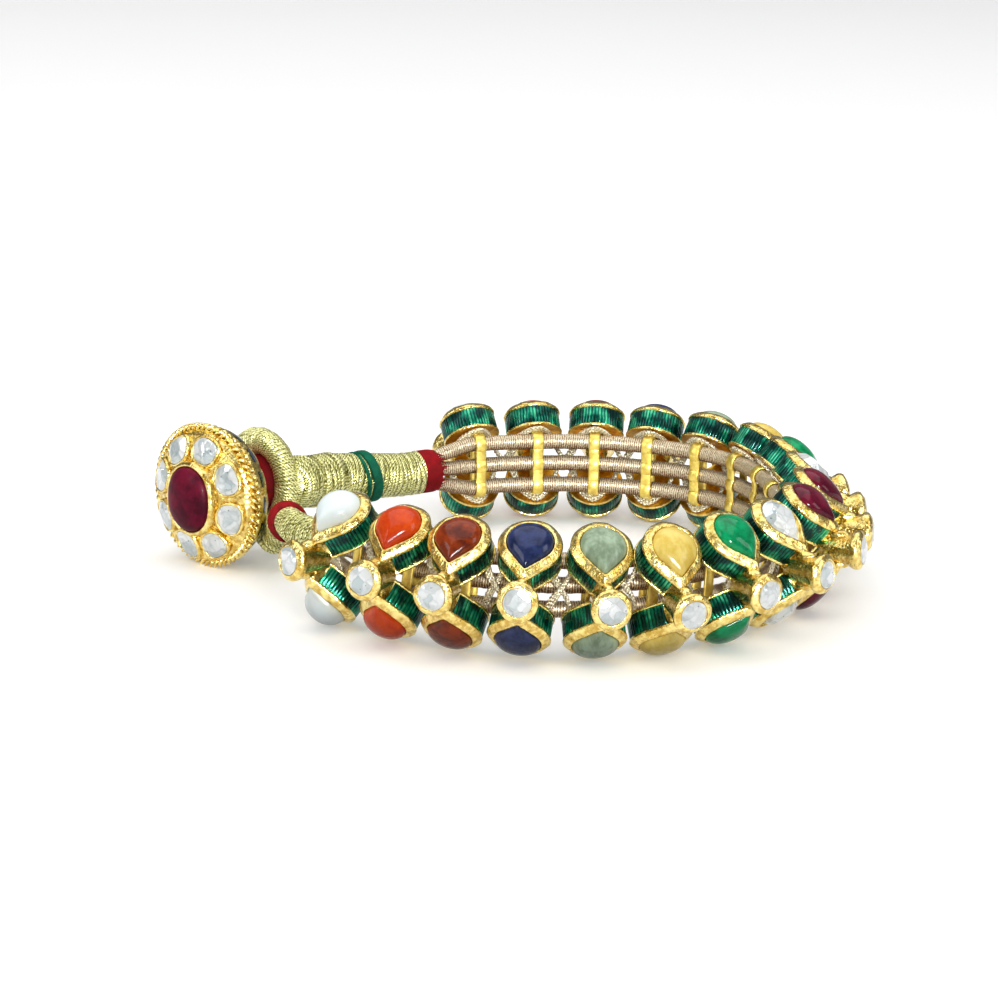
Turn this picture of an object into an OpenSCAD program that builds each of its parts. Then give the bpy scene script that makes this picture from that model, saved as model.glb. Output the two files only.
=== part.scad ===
// Nine-gem bracelet: eighteen double drop settings threaded on three cords,
// closed by a jewelled button that sits in a wound loop. Millimetres, +Z up.
// The bracelet lies on its side, so the wrist goes through along Z.
// Inside a station's own frame X points outward from the wrist, Y runs along
// the cords and Z is up.

/* [Settings] */
// Radius of the round end of a drop setting
drop_r = 3.75; // [3.5:0.05:3.75]
// Distance of a drop's tip from the centre of its round end, in radii
tip_ratio = 1.46; // [1.4:0.02:1.5]
// Depth of a drop setting from its face to its back
cup_depth = 3.2; // [2.6:0.1:3.3]
// Thickness of the gold rim round the face
rim_t = 0.6; // [0.4:0.05:0.8]
// Thickness of the gold edge at the back
back_rim_t = 0.3; // [0.2:0.05:0.5]
// How far the enamelled wall lies inside the gold rims
wall_inset = 0.12; // [0.05:0.01:0.2]
// Angle of the two faces from the horizontal plane
face_tilt = 40; // [38:1:42]
// Distance outward from the cords to the centre of a round end
drop_out = 4.5; // [4.4:0.1:4.7]
// Height of the centre of a round end over the middle of the band
drop_up = 5.5; // [5.4:0.1:5.7]

/* [Stones] */
// Radius of the round end of a drop stone
stone_r = 2.7; // [2.3:0.05:2.8]
// Height of a facetted or polished stone over its girdle
dome_h = 1.3; // [1:0.1:1.6]
// Height of a pearl over its girdle
pearl_h = 2.2; // [1.6:0.1:2.4]
// Height of the low domes of the last coral and pearl pairs
low_dome_h = 1.1; // [0.9:0.1:1.3]
// Height of the gold bezel over the face
bezel_h = 0.5; // [0.3:0.05:0.7]
// Thickness of the gold bezel
bezel_t = 0.5; // [0.35:0.05:0.7]
// Depth that a stone is sunk under the face
seat_depth = 0.4; // [0.3:0.05:0.8]
// Gap between a stone and its seat
seat_gap = 0.05; // [0.03:0.01:0.1]
// Points round a stone's outline
stone_sides = 20; // [12:2:24]

/* [Collets] */
// Outer radius of a round collet at its face
collet_r = 2.35; // [2.1:0.05:2.4]
// Outer radius of a round collet at its foot
collet_foot_r = 1.75; // [1.6:0.05:2]
// Distance outward from the cords to a collet's foot
collet_in = 6.2; // [6:0.1:6.5]
// Distance outward from the cords to a collet's face
collet_out = 11.3; // [10.8:0.1:11.5]
// Radius of the stone in a collet
collet_stone_r = 1.65; // [1.4:0.05:1.75]
// Height of a collet's stone over its girdle, and depth of its girdle
crown_h = 0.45; // [0.3:0.05:0.6]

/* [Cords] */
// Radius of one cord
cord_r = 0.95; // [0.8:0.05:1]
// Height between neighbouring cords
cord_pitch = 2.9; // [2.8:0.05:3]
// Radius of one cord where it is gathered
cord_gather_r = 0.85; // [0.7:0.05:0.9]
// Height between neighbouring cords where they are gathered
cord_gather = 1.75; // [1.75:0.01:1.9]
// Length of the cords from the last station to the neck
lead_out = 6.8; // [5:0.1:8]

/* [Bars] */
// Gap between a cord and the ring round it
ring_gap = 0.08; // [0.06:0.01:0.1]
// Wall of a ring round a cord
ring_wall = 0.3; // [0.25:0.05:0.4]
// Width of a bar along the cords
bar_w = 1.4; // [1:0.1:1.8]

/* [Loop] */
// Radius of the loop's middle line
loop_r = 5.2; // [5.1:0.05:5.3]
// Radius of the wound cord of the loop
loop_cord_r = 1.6; // [1.4:0.05:1.6]
// Direction of the loop's axis, towards the button's side
loop_turn = 222; // [218:1:228]
// Distance from the button's rim to the loop
loop_back = 8.7; // [8.6:0.1:9.2]
// Radius of the neck next to the cords
neck_r = 2.8; // [2.6:0.05:3]
// Length of the crimson band at the neck's start
red_band_l = 2.5; // [2:0.1:3]
// Width of the wide green band
green_band_w = 1.3; // [1:0.1:1.5]
// Width of the narrow green band beside it
green_line_w = 0.4; // [0.3:0.1:0.6]
// Distance of the wide green band from the neck's start
green_band_at = 10.2; // [9:0.1:11]
// Radius of the button's silk-wound shank
shank_r = 3.3; // [3:0.05:3.3]
// Distance of the shank's end behind the button's rim
shank_end = 10.6; // [10:0.1:10.8]

/* [Button] */
// Radius of the button to the outside of its rope edge
button_r = 9.1; // [8.9:0.05:9.2]
// Direction that the button faces
button_turn = 228; // [224:1:232]
// Height of the button's centre over the middle of the band
button_up = 0.9; // [0.9:0.05:1.2]
// Number of small stones round the button
petals = 8; // [6:1:8]
// Radius of the circle of small stones
petal_ring_r = 6.2; // [6.15:0.05:6.25]
// Radius of the ends of one small stone
petal_r = 1.6; // [1.4:0.05:1.6]
// Half the length between the ends' centres of one small stone
petal_half = 0.25; // [0.1:0.05:0.3]
// Radius of the ends of the oval stone
oval_r = 3.5; // [3:0.1:3.6]
// Half the length between the ends' centres of the oval stone
oval_half = 0.6; // [0.3:0.1:0.7]
// Height of the oval stone over its girdle
ruby_h = 1.5; // [1:0.1:1.8]

/* [Hidden] */
$fn = 48;

// One row for each station, in order along the cords.
// gem, turn of the cords to the next station, length to it, lean sideways, nod upward, swing of the drops
STATIONS = [
    ["pearl",           19, 7.9,  3,  6,  4],
    ["coral",            9, 7.4,  4,  6,  5],
    ["hessonite",       15, 7.1,  2,  4,  5],
    ["blue_sapphire",   19, 7.1,  5,  5,  0],
    ["cats_eye",        13, 7.4,  3,  1, -4],
    ["yellow_sapphire", 15, 7.6,  3, -5, -4],
    ["emerald",         14, 8.0,  3,  0,  8],
    ["diamond",         18, 8.0,  0,  2,  2],
    ["ruby",            14, 7.7,  1,  3,  0],
    ["ruby",             9, 7.6,  0,  1,  0],
    ["diamond",          9, 7.4,  0,  2,  0],
    ["emerald",         18, 7.1,  0,  2,  2],
    ["yellow_sapphire", 25, 6.8,  0,  1, -2],
    ["cats_eye",        16, 7.1,  0,  2,  0],
    ["blue_sapphire",   13, 7.2,  0,  1,  2],
    ["hessonite",       14, 7.6,  0,  0, -2],
    ["coral",           12, 8.0,  1,  0,  0],
    ["pearl",           12, lead_out, 1, -1, 2]
];
// Place and direction of the cords at the first station
first_xy = [-31.8, -17.0];
first_heading = -50;
// Shift that brings the middle of the base to the origin
frame_shift = [14.58, -1.69, 8.2];

// Straight stretch of the neck: distance from the neck's start, height, radius
NECK_START = [[red_band_l, 0, neck_r], [5, 0, neck_r], [14.5, 0.8, 3.10]];
// Route of the neck past its straight stretch: x, y, height, radius
NECK_END = [
    [-38.2, 15.2, 1.0, 3.10],
    [-40.0, 13.5, 1.0, 3.00],
    [-41.2, 11.9, 1.0, 2.50],
    [-41.6, 10.9, 1.0, 1.80]
];
// Route of the stub from the gathered cords to the shank: x, y, height, radius
STUB = [
    [-36.0, -12.0,  0.0, 2.90],
    [-38.3,  -9.3,  0.0, 2.40],
    [-39.8,  -7.2,  0.1, 2.05],
    [-41.0,  -5.2,  0.1, 2.00],
    [-42.1,  -2.2,  0.0, 1.85],
    [-42.8,   0.0, -0.8, 1.85],
    [-43.0,   2.8, -2.7, 2.05],
    [-43.9,   5.3, -4.2, 2.10],
    [-44.8,   6.7, -4.2, 1.90],
    [-45.8,   7.6, -3.2, 1.60],
    [-46.6,   8.3, -2.0, 1.40]
];
band_at_stub = 4;
// Centre of the button's rim
button_xy = [-52.0, 6.3];

// Kind of stone, colour, height over the girdle
GEMS = [
    ["pearl",           "#eef3f6", pearl_h],
    ["coral",           "#e0552b", 1.7],
    ["hessonite",       "#8c2a12", dome_h],
    ["blue_sapphire",   "#3b3f86", dome_h],
    ["cats_eye",        "#8a9583", dome_h],
    ["yellow_sapphire", "#e3b866", dome_h],
    ["emerald",         "#129a55", dome_h],
    ["diamond",         "#e4ecf0", 0.9],
    ["ruby",            "#6d0f1d", dome_h]
];
foil_white = "#e4ecf0";
gold = "#d9a93a";
thread_gold = "#c9bd6a";
cord_pink = "#c3a08c";
silk_red = "#a5121f";
silk_green = "#0f6b4c";

ring_r = cord_r + ring_gap + ring_wall;
rise = [-cord_pitch, 0, cord_pitch];
gather_rise = [-cord_gather, 0, cord_gather];
overlap = 0.2;
// Gap between the cords' ends and what holds them
end_gap = 0.2;
// Heights in front of the button's rim: its back, its dome, the oval's seat and bezel
back_h = -3.4;
dome_top = 3.0;
ruby_seat = 2.9;
bezel_top = 4.0;
// Depth of a small stone's seat over the dome, height of its girdle over that, of the stone
petal_seat = 0.1;
petal_girdle = 0.5;
petal_h = 0.9;
// First of the stations with low domes, counted from 0
first_low = 16;
crown_table = 0.55;
facet_sides = 8;

// Point reached after an arc of a given turn and length
function arc_end(p, a, turn, len) =
    let (r = len / (turn * PI / 180))
    p + r * [sin(a + turn) - sin(a), cos(a) - cos(a + turn)];
function heading(i) = i == 0 ? first_heading : heading(i - 1) + STATIONS[i - 1][1];
function place(i) = i == 0 ? first_xy
    : arc_end(place(i - 1), heading(i - 1), STATIONS[i - 1][1], STATIONS[i - 1][2]);
function unit(v) = v / norm(v);
function along(a) = [cos(a), sin(a)];
// Vector of a station's own frame, turned into the bracelet's frame
function turned(i, v) =
    let (
        lean = -STATIONS[i][3], nod = -STATIONS[i][4], a = heading(i) - 90,
        p = [v.x, v.y * cos(lean) - v.z * sin(lean), v.y * sin(lean) + v.z * cos(lean)],
        q = [p.x * cos(nod) + p.z * sin(nod), p.y, p.z * cos(nod) - p.x * sin(nod)]
    )
    [q.x * cos(a) - q.y * sin(a), q.x * sin(a) + q.y * cos(a), q.z];

last = len(STATIONS);
neck_xy = place(last);
neck_heading = heading(last);
stub_xy = [STUB[0].x, STUB[0].y];

// Outline of a drop with its tip at +X: its round end as points, then the tip
function drop_points(r, n) =
    let (a = acos(1 / tip_ratio))
    [
        for (k = [0 : n - 2]) let (t = a + (360 - 2 * a) * k / (n - 2)) r * [cos(t), sin(t)],
        [r * tip_ratio, 0]
    ];
// Outline of a round-ended oval, long along Y
function oval_points(r, half, n) = [
    for (k = [0 : n - 1]) let (t = 360 * (k + 0.5) / n) r * [cos(t), sin(t)] + [0, sin(t) > 0 ? half : -half]
];

// Solid through copies of one outline, each with its own scale and height
module lofted(outline, levels) {
    n = len(outline);
    m = len(levels);
    polyhedron(
        points = [for (l = levels, p = outline) [p.x * l[0], p.y * l[0], l[1]]],
        faces = concat(
            [[for (k = [n - 1 : -1 : 0]) k]],
            [for (j = [0 : m - 2], k = [0 : n - 1])
                let (a = j * n + k, b = j * n + (k + 1) % n) [a, b, b + n, a + n]],
            [[for (k = [0 : n - 1]) (m - 1) * n + k]]
        )
    );
}

// Levels of a polished dome over a straight girdle
function dome_levels(base, girdle, h) = concat(
    [[1, base], [1, girdle]],
    [for (t = [28, 50, 68, 82]) [cos(t), girdle + h * sin(t)]]
);

// Round end and tip, with the tip's sides crossing the circle instead of grazing it
module drop_outline(r) {
    a = acos(1 / tip_ratio);
    pull_in = 0.98;
    circle(r);
    polygon([[0, 0], pull_in * r * along(-a), [r * tip_ratio, 0], pull_in * r * along(a)]);
}

module drop_slab(r, from, to) {
    translate([0, 0, from]) linear_extrude(to - from) drop_outline(r);
}

// Round tube along a route of x, y, height and radius
module swept(route, sides) {
    n = len(route);
    rings = [
        for (i = [0 : n - 1])
            let (
                p = route[i],
                q = route[max(i - 1, 0)],
                w = route[min(i + 1, n - 1)],
                t = unit([w.x - q.x, w.y - q.y, w.z - q.z]),
                s = unit([-t.y, t.x, 0]),
                u = cross(t, s)
            )
            [for (k = [0 : sides - 1]) let (c = 360 * (k + 0.5) / sides)
                [p.x, p.y, p.z] + p[3] * (cos(c) * s + sin(c) * u)]
    ];
    polyhedron(
        points = [for (ring = rings, p = ring) p],
        faces = concat(
            [[for (k = [sides - 1 : -1 : 0]) k]],
            [for (i = [0 : n - 2], k = [0 : sides - 1])
                let (a = i * sides + k, b = i * sides + (k + 1) % sides) [a, b, b + sides, a + sides]],
            [[for (k = [0 : sides - 1]) (n - 1) * sides + k]]
        )
    );
}

module in_frame() {
    translate(frame_shift) children();
}

module at_station(i) {
    in_frame()
        translate([place(i).x, place(i).y, 0])
            rotate([-STATIONS[i][3], -STATIONS[i][4], heading(i) - 90])
                children();
}

// Both drops of a station, in the frame of a drop's face
module both_drops(i) {
    swing = STATIONS[i][5];
    for (side = [0, 1])
        mirror([0, 0, side])
            translate([drop_out, 0, drop_up])
                rotate([0, face_tilt, 0])
                    rotate(swing)
                        children();
}

module cup() {
    difference() {
        union() {
            drop_slab(drop_r, -rim_t, 0);
            drop_slab(drop_r - wall_inset, back_rim_t / 2 - cup_depth, -rim_t / 2);
            drop_slab(drop_r, -cup_depth, back_rim_t - cup_depth);
            drop_slab(stone_r + seat_gap + bezel_t, -rim_t / 2, bezel_h);
        }
        drop_slab(stone_r + seat_gap, -seat_depth - seat_gap, bezel_h + overlap);
    }
}

module collet() {
    seat = collet_out - crown_h;
    difference() {
        translate([collet_in, 0, 0]) rotate([0, 90, 0])
            cylinder(h = collet_out - collet_in, r1 = collet_foot_r, r2 = collet_r);
        translate([seat - seat_gap, 0, 0]) rotate([0, 90, 0])
            cylinder(h = crown_h + overlap, r = collet_stone_r + seat_gap);
    }
}

// Three rings round the cords, their backing strip and the solder to the cups
module bar() {
    strip_t = 0.25;
    strip_w = bar_w - 0.3;
    solder_l = 1.4;
    solder_w = bar_w - 0.5;
    difference() {
        union() {
            for (z = rise) translate([0, bar_w / 2, z]) rotate([90, 0, 0]) cylinder(h = bar_w, r = ring_r);
            translate([cord_r - 0.05, -strip_w / 2, -cord_pitch]) cube([strip_t, strip_w, 2 * cord_pitch]);
            for (z = [-cord_pitch, cord_pitch])
                translate([cord_r, -solder_w / 2, z - cord_r / 2]) cube([solder_l, solder_w, cord_r]);
        }
        for (z = rise) translate([0, bar_w, z]) rotate([90, 0, 0])
            cylinder(h = 2 * bar_w, r = cord_r + ring_gap);
    }
}

module setting(i) {
    color(gold) at_station(i) {
        both_drops(i) cup();
        collet();
        bar();
    }
}

module gem_pair(i) {
    gem = [for (g = GEMS) if (g[0] == STATIONS[i][0]) g][0];
    girdle = bezel_h - seat_gap;
    height = i < first_low ? gem[2] : low_dome_h;
    levels = gem[0] == "diamond"
        ? [[1, -seat_depth], [1, girdle], [0.82, girdle + 0.7 * gem[2]], [crown_table, girdle + gem[2]]]
        : dome_levels(-seat_depth, girdle, height);
    color(gem[1]) at_station(i) both_drops(i) lofted(drop_points(stone_r, stone_sides), levels);
}

// Round stone with a girdle, a ring of facets and a table
module round_stone(r, girdle, crown) {
    cylinder(h = girdle, r = r, $fn = facet_sides);
    translate([0, 0, girdle]) cylinder(h = crown, r1 = r, r2 = r * crown_table, $fn = facet_sides);
}

module collet_stones() {
    color(foil_white)
        for (i = [0 : last - 1])
            at_station(i)
                translate([collet_out - crown_h, 0, 0]) rotate([0, 90, 0])
                    round_stone(collet_stone_r, crown_h, crown_h);
}

// Middle of a cord at a station or beside it, and halfway to the next one
function cord_at(i, z, beside = 0) = turned(i, [0, beside, z]) + [place(i).x, place(i).y, 0];
function cord_between(i, z) =
    let (p = arc_end(place(i), heading(i), STATIONS[i][1] / 2, STATIONS[i][2] / 2))
    [p.x, p.y, 0] + (turned(i, [0, 0, z]) + turned(i + 1, [0, 0, z])) / 2;

// Middle line of one cord: gathered at the stub, through every station, gathered at the neck
function cord_route(row) =
    let (
        z = rise[row],
        from = stub_xy - end_gap * unit(stub_xy - first_xy),
        to = neck_xy - end_gap * along(neck_heading)
    )
    concat(
        [[from.x, from.y, gather_rise[row], cord_gather_r]],
        [for (p = [cord_at(0, z, -bar_w)]) [p.x, p.y, p.z, cord_r]],
        [for (i = [0 : last - 2], p = [cord_at(i, z), cord_between(i, z)]) [p.x, p.y, p.z, cord_r]],
        [for (p = [cord_at(last - 1, z), cord_at(last - 1, z, bar_w)]) [p.x, p.y, p.z, cord_r]],
        [[to.x, to.y, gather_rise[row], cord_gather_r]]
    );

module cord(row) {
    color(cord_pink) in_frame() swept(cord_route(row), 8);
}

module in_neck() {
    in_frame() translate([neck_xy.x, neck_xy.y, 0]) rotate([0, 0, neck_heading]) children();
}

module neck_red_band() {
    inset = 0.15;
    color(silk_red) in_neck() translate([seat_gap, 0, 0]) rotate([0, 90, 0])
        cylinder(h = red_band_l - 2 * seat_gap, r = neck_r - inset);
}

module in_loop() {
    xy = button_xy - loop_back * along(button_turn);
    raise = 0.2;
    in_frame() translate([xy.x, xy.y, button_up + raise]) rotate([0, 0, loop_turn]) children();
}

module neck_wrap() {
    straight = [for (k = NECK_START)
        let (p = neck_xy + k[0] * along(neck_heading)) [p.x, p.y, k[1], k[2]]];
    color(thread_gold) in_frame() swept(concat(straight, NECK_END), 14);
}

module clasp_loop() {
    color(thread_gold) in_loop() rotate([0, 90, 0])
        rotate_extrude() translate([loop_r, 0]) circle(loop_cord_r);
}

// Wide silk band and narrow line beside it, slanted round the neck
module neck_green_bands() {
    outer_r = 3.45;
    inner_r = 3.2;
    span = 4;
    slant = 8;
    neck_rise = 0.45;
    line_at = green_band_at + 1.2;
    for (band = [[green_band_at, green_band_w], [line_at, green_line_w]])
        color(silk_green) in_neck() translate([band[0], 0, neck_rise]) intersection() {
            rotate([0, 90, 0]) difference() {
                cylinder(h = span, r = outer_r, center = true);
                cylinder(h = 2 * span, r = inner_r, center = true);
            }
            rotate([0, slant, 0]) cube([band[1], 3 * outer_r, 3 * outer_r], center = true);
        }
}

module in_button() {
    in_frame() translate([button_xy.x, button_xy.y, button_up])
        rotate([0, 0, button_turn]) rotate([0, 90, 0]) children();
}

// Silk-wound shank behind the button: half profile as radius and distance in front of the rim
module shank() {
    root = back_h - seat_gap;
    root_r = 3.0;
    shoulder = 1.2;
    color(silk_red) in_button() rotate_extrude() polygon([
        [0, root], [root_r, root], [shank_r, -7], [shank_r, shoulder - shank_end],
        [shank_r - shoulder, -shank_end], [0, -shank_end]
    ]);
}

module stub_wrap() {
    color(thread_gold) in_frame() swept(STUB, 14);
}

module stub_red_band() {
    band_w = 1.3;
    inner_r = 2.08;
    outer_r = 2.4;
    back_by = 0.6;
    p = STUB[band_at_stub];
    q = STUB[band_at_stub - 1];
    v = unit([p.x - q.x, p.y - q.y, p.z - q.z]);
    color(silk_red) in_frame()
        translate([p.x, p.y, p.z] - back_by * v)
            rotate([0, acos(v.z), atan2(v.y, v.x)])
                difference() {
                    cylinder(h = band_w, r = outer_r, center = true);
                    cylinder(h = 2 * band_w, r = inner_r, center = true);
                }
}

module oval(r, from, to) {
    translate([0, 0, from]) linear_extrude(to - from) polygon(oval_points(r, oval_half, 24));
}

// Outline of a small stone, longer round the button than outward
module petal(grow, h) {
    linear_extrude(h) polygon(oval_points(petal_r + grow, petal_half, 24));
}

// Places of the small stones on the button's dome, tilted with it
module at_petals() {
    petal_up = 2.3;
    petal_phase = 31;
    petal_lean = 20;
    for (k = [0 : petals - 1])
        rotate(petal_phase + 360 * k / petals)
            translate([petal_ring_r, 0, petal_up]) rotate([0, petal_lean, 0])
                children();
}

// Bowl, rim and dome of the button, with its rope edge, bezel and seats
module button_case() {
    rope_r = 0.4;
    rope_gap = 0.75;
    bezel = 0.55;
    bezel_root = 2.4;
    petal_bezel = 0.3;
    petal_bezel_h = 0.65;
    body_r = button_r - rope_r - 0.15;
    color(gold) in_button() rotate(90) difference() {
        union() {
            rotate_extrude() polygon([
                [0, back_h], [5, back_h], [7.1, -2.7], [body_r - 0.3, -1.6], [body_r, -0.4], [body_r, 0.9],
                [body_r - 0.3, 1.3], [body_r - 0.4, 1.6], [7.6, 2.0], [4.6, dome_top], [0, dome_top]
            ]);
            for (h = [0.2 - rope_r, 0.2 - rope_r + rope_gap])
                rotate_extrude() translate([button_r - rope_r, h]) circle(rope_r, $fn = 24);
            oval(oval_r + seat_gap + bezel, bezel_root, bezel_top);
            at_petals() petal(seat_gap + petal_bezel, petal_bezel_h);
        }
        oval(oval_r + seat_gap, ruby_seat, bezel_top + overlap);
        at_petals() translate([0, 0, petal_seat]) petal(seat_gap, petal_h);
    }
}

module button_ruby() {
    girdle = bezel_top - 0.1;
    color("#7a1230") in_button() rotate(90)
        lofted(oval_points(oval_r, oval_half, 24), dome_levels(ruby_seat + seat_gap, girdle, ruby_h));
}

module button_stones() {
    color(foil_white) in_button() rotate(90) at_petals()
        translate([0, 0, petal_seat + seat_gap])
            lofted(oval_points(petal_r, petal_half, 12), [[1, 0], [1, petal_girdle], [crown_table, petal_h]]);
}

setting(0);  // setting_01
setting(1);  // setting_02
setting(2);  // setting_03
setting(3);  // setting_04
setting(4);  // setting_05
setting(5);  // setting_06
setting(6);  // setting_07
setting(7);  // setting_08
setting(8);  // setting_09
setting(9);  // setting_10
setting(10);  // setting_11
setting(11);  // setting_12
setting(12);  // setting_13
setting(13);  // setting_14
setting(14);  // setting_15
setting(15);  // setting_16
setting(16);  // setting_17
setting(17);  // setting_18
gem_pair(0);  // pearl_pair_01
gem_pair(1);  // coral_pair_02
gem_pair(2);  // hessonite_pair_03
gem_pair(3);  // blue_sapphire_pair_04
gem_pair(4);  // cats_eye_pair_05
gem_pair(5);  // yellow_sapphire_pair_06
gem_pair(6);  // emerald_pair_07
gem_pair(7);  // diamond_pair_08
gem_pair(8);  // ruby_pair_09
gem_pair(9);  // ruby_pair_10
gem_pair(10);  // diamond_pair_11
gem_pair(11);  // emerald_pair_12
gem_pair(12);  // yellow_sapphire_pair_13
gem_pair(13);  // cats_eye_pair_14
gem_pair(14);  // blue_sapphire_pair_15
gem_pair(15);  // hessonite_pair_16
gem_pair(16);  // coral_pair_17
gem_pair(17);  // pearl_pair_18
collet_stones();
cord(2);  // cord_top
cord(1);  // cord_middle
cord(0);  // cord_bottom
neck_red_band();
neck_wrap();
neck_green_bands();
clasp_loop();
stub_wrap();
stub_red_band();
shank();
button_case();
button_ruby();
button_stones();
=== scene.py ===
# %% [markdown]
# # A nine-gem bracelet
# The bracelet is eighteen stations on three wound cords. Each station has two drop-shaped
# gold boxes, back to back at a slant, a round collet in front of their tips and a bar that
# holds the cords. The nine gems run round it twice, mirrored about the rubies.
# It closes with a jewelled button that sits in a loop of wound gold thread.
# The carrying frame is loaded first. It gives the place of every stone and every cord, and
# each piece below is built on what the frame says.

# %% Load the frame
import math

import bmesh
import bpy
import numpy as np
from mathutils import Matrix


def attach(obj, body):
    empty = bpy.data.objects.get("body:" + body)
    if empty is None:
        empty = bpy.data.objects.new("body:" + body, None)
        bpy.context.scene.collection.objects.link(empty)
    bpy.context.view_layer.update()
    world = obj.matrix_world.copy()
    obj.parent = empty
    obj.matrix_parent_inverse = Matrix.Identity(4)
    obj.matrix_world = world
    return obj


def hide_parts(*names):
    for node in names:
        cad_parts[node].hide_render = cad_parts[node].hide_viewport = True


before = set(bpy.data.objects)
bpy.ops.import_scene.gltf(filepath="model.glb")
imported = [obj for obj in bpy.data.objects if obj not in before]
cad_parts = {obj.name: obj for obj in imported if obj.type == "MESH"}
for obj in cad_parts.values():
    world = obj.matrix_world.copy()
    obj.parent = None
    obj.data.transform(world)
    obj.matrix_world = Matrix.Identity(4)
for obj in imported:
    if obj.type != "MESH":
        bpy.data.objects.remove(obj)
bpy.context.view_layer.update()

BODY = "root"
MM = 0.001

# %% [markdown]
# ## The camera
# The photograph looks a little down on the bracelet with a long lens, so that near and far
# stones keep almost the same size. A long lens placed far away does the same here.
# Its place comes from matching the stones' places in the picture, and it never changes.

# %% Camera
PICTURE_PX = 998
FOCAL_PX = 3385.96
SENSOR_MM = 36.0
CAMERA_PLACE = (-1.4945, -405.181, 117.764)
LOOK_DOWN = math.radians(14.81)
ROLL = math.radians(-1.506)


def photo_camera():
    """Camera at the photograph's place, with X to the right, Y up and Z back."""
    forward = np.array([0.0, math.cos(LOOK_DOWN), -math.sin(LOOK_DOWN)])
    level_up = np.array([0.0, math.sin(LOOK_DOWN), math.cos(LOOK_DOWN)])
    level_right = np.array([1.0, 0.0, 0.0])
    right = math.cos(ROLL) * level_right - math.sin(ROLL) * level_up
    up = math.sin(ROLL) * level_right + math.cos(ROLL) * level_up
    turn = np.eye(4)
    turn[:3, 0], turn[:3, 1], turn[:3, 2] = right, up, -forward
    turn[:3, 3] = np.array(CAMERA_PLACE) * MM
    lens = bpy.data.cameras.new("photo_camera")
    lens.sensor_width = SENSOR_MM
    lens.lens = FOCAL_PX * SENSOR_MM / PICTURE_PX
    lens.clip_start = 0.01
    lens.clip_end = 20.0
    camera = bpy.data.objects.new("photo_camera", lens)
    camera.matrix_world = Matrix(turn)
    bpy.context.collection.objects.link(camera)
    bpy.context.scene.camera = camera
    return camera


camera = photo_camera()
print("camera at", [round(c, 3) for c in camera.matrix_world.translation], "lens", round(camera.data.lens, 1))

# %% [markdown]
# ## Writing materials as sums
# A finish is worked out from patterns: grain, turns of thread, dents. Such maths reads best
# as Python expressions, so one small class wraps a socket and turns +, -, * and / into
# Math nodes. Every other node comes from one method that sets it up and links it.

# %% A socket that can be added and multiplied


class Term:
    """A socket of a material. Sums and products on it add Math nodes."""

    def __init__(self, finish, socket):
        self.finish = finish
        self.socket = socket

    def math(self, operation, *others):
        return self.finish.add("ShaderNodeMath", {"operation": operation}, dict(enumerate((self,) + others)))

    def __add__(self, other):
        return self.math("ADD", other)

    def __sub__(self, other):
        return self.math("SUBTRACT", other)

    def __rsub__(self, other):
        return self.math("MULTIPLY_ADD", -1.0, other)

    def __mul__(self, other):
        return self.math("MULTIPLY", other)

    def __truediv__(self, other):
        return self.math("DIVIDE", other)

    __radd__ = __add__
    __rmul__ = __mul__

    def wave(self):
        """From 0 to 1 and back, once for each whole number."""
        return (self * (2.0 * math.pi)).math("SINE") * 0.5 + 0.5

    def between(self, low, high):
        """0 below low, 1 above high, and a smooth rise from one to the other."""
        return self.finish.add("ShaderNodeMapRange", {"interpolation_type": "SMOOTHSTEP"},
                               {"Value": self, "From Min": low, "From Max": high})


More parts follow.
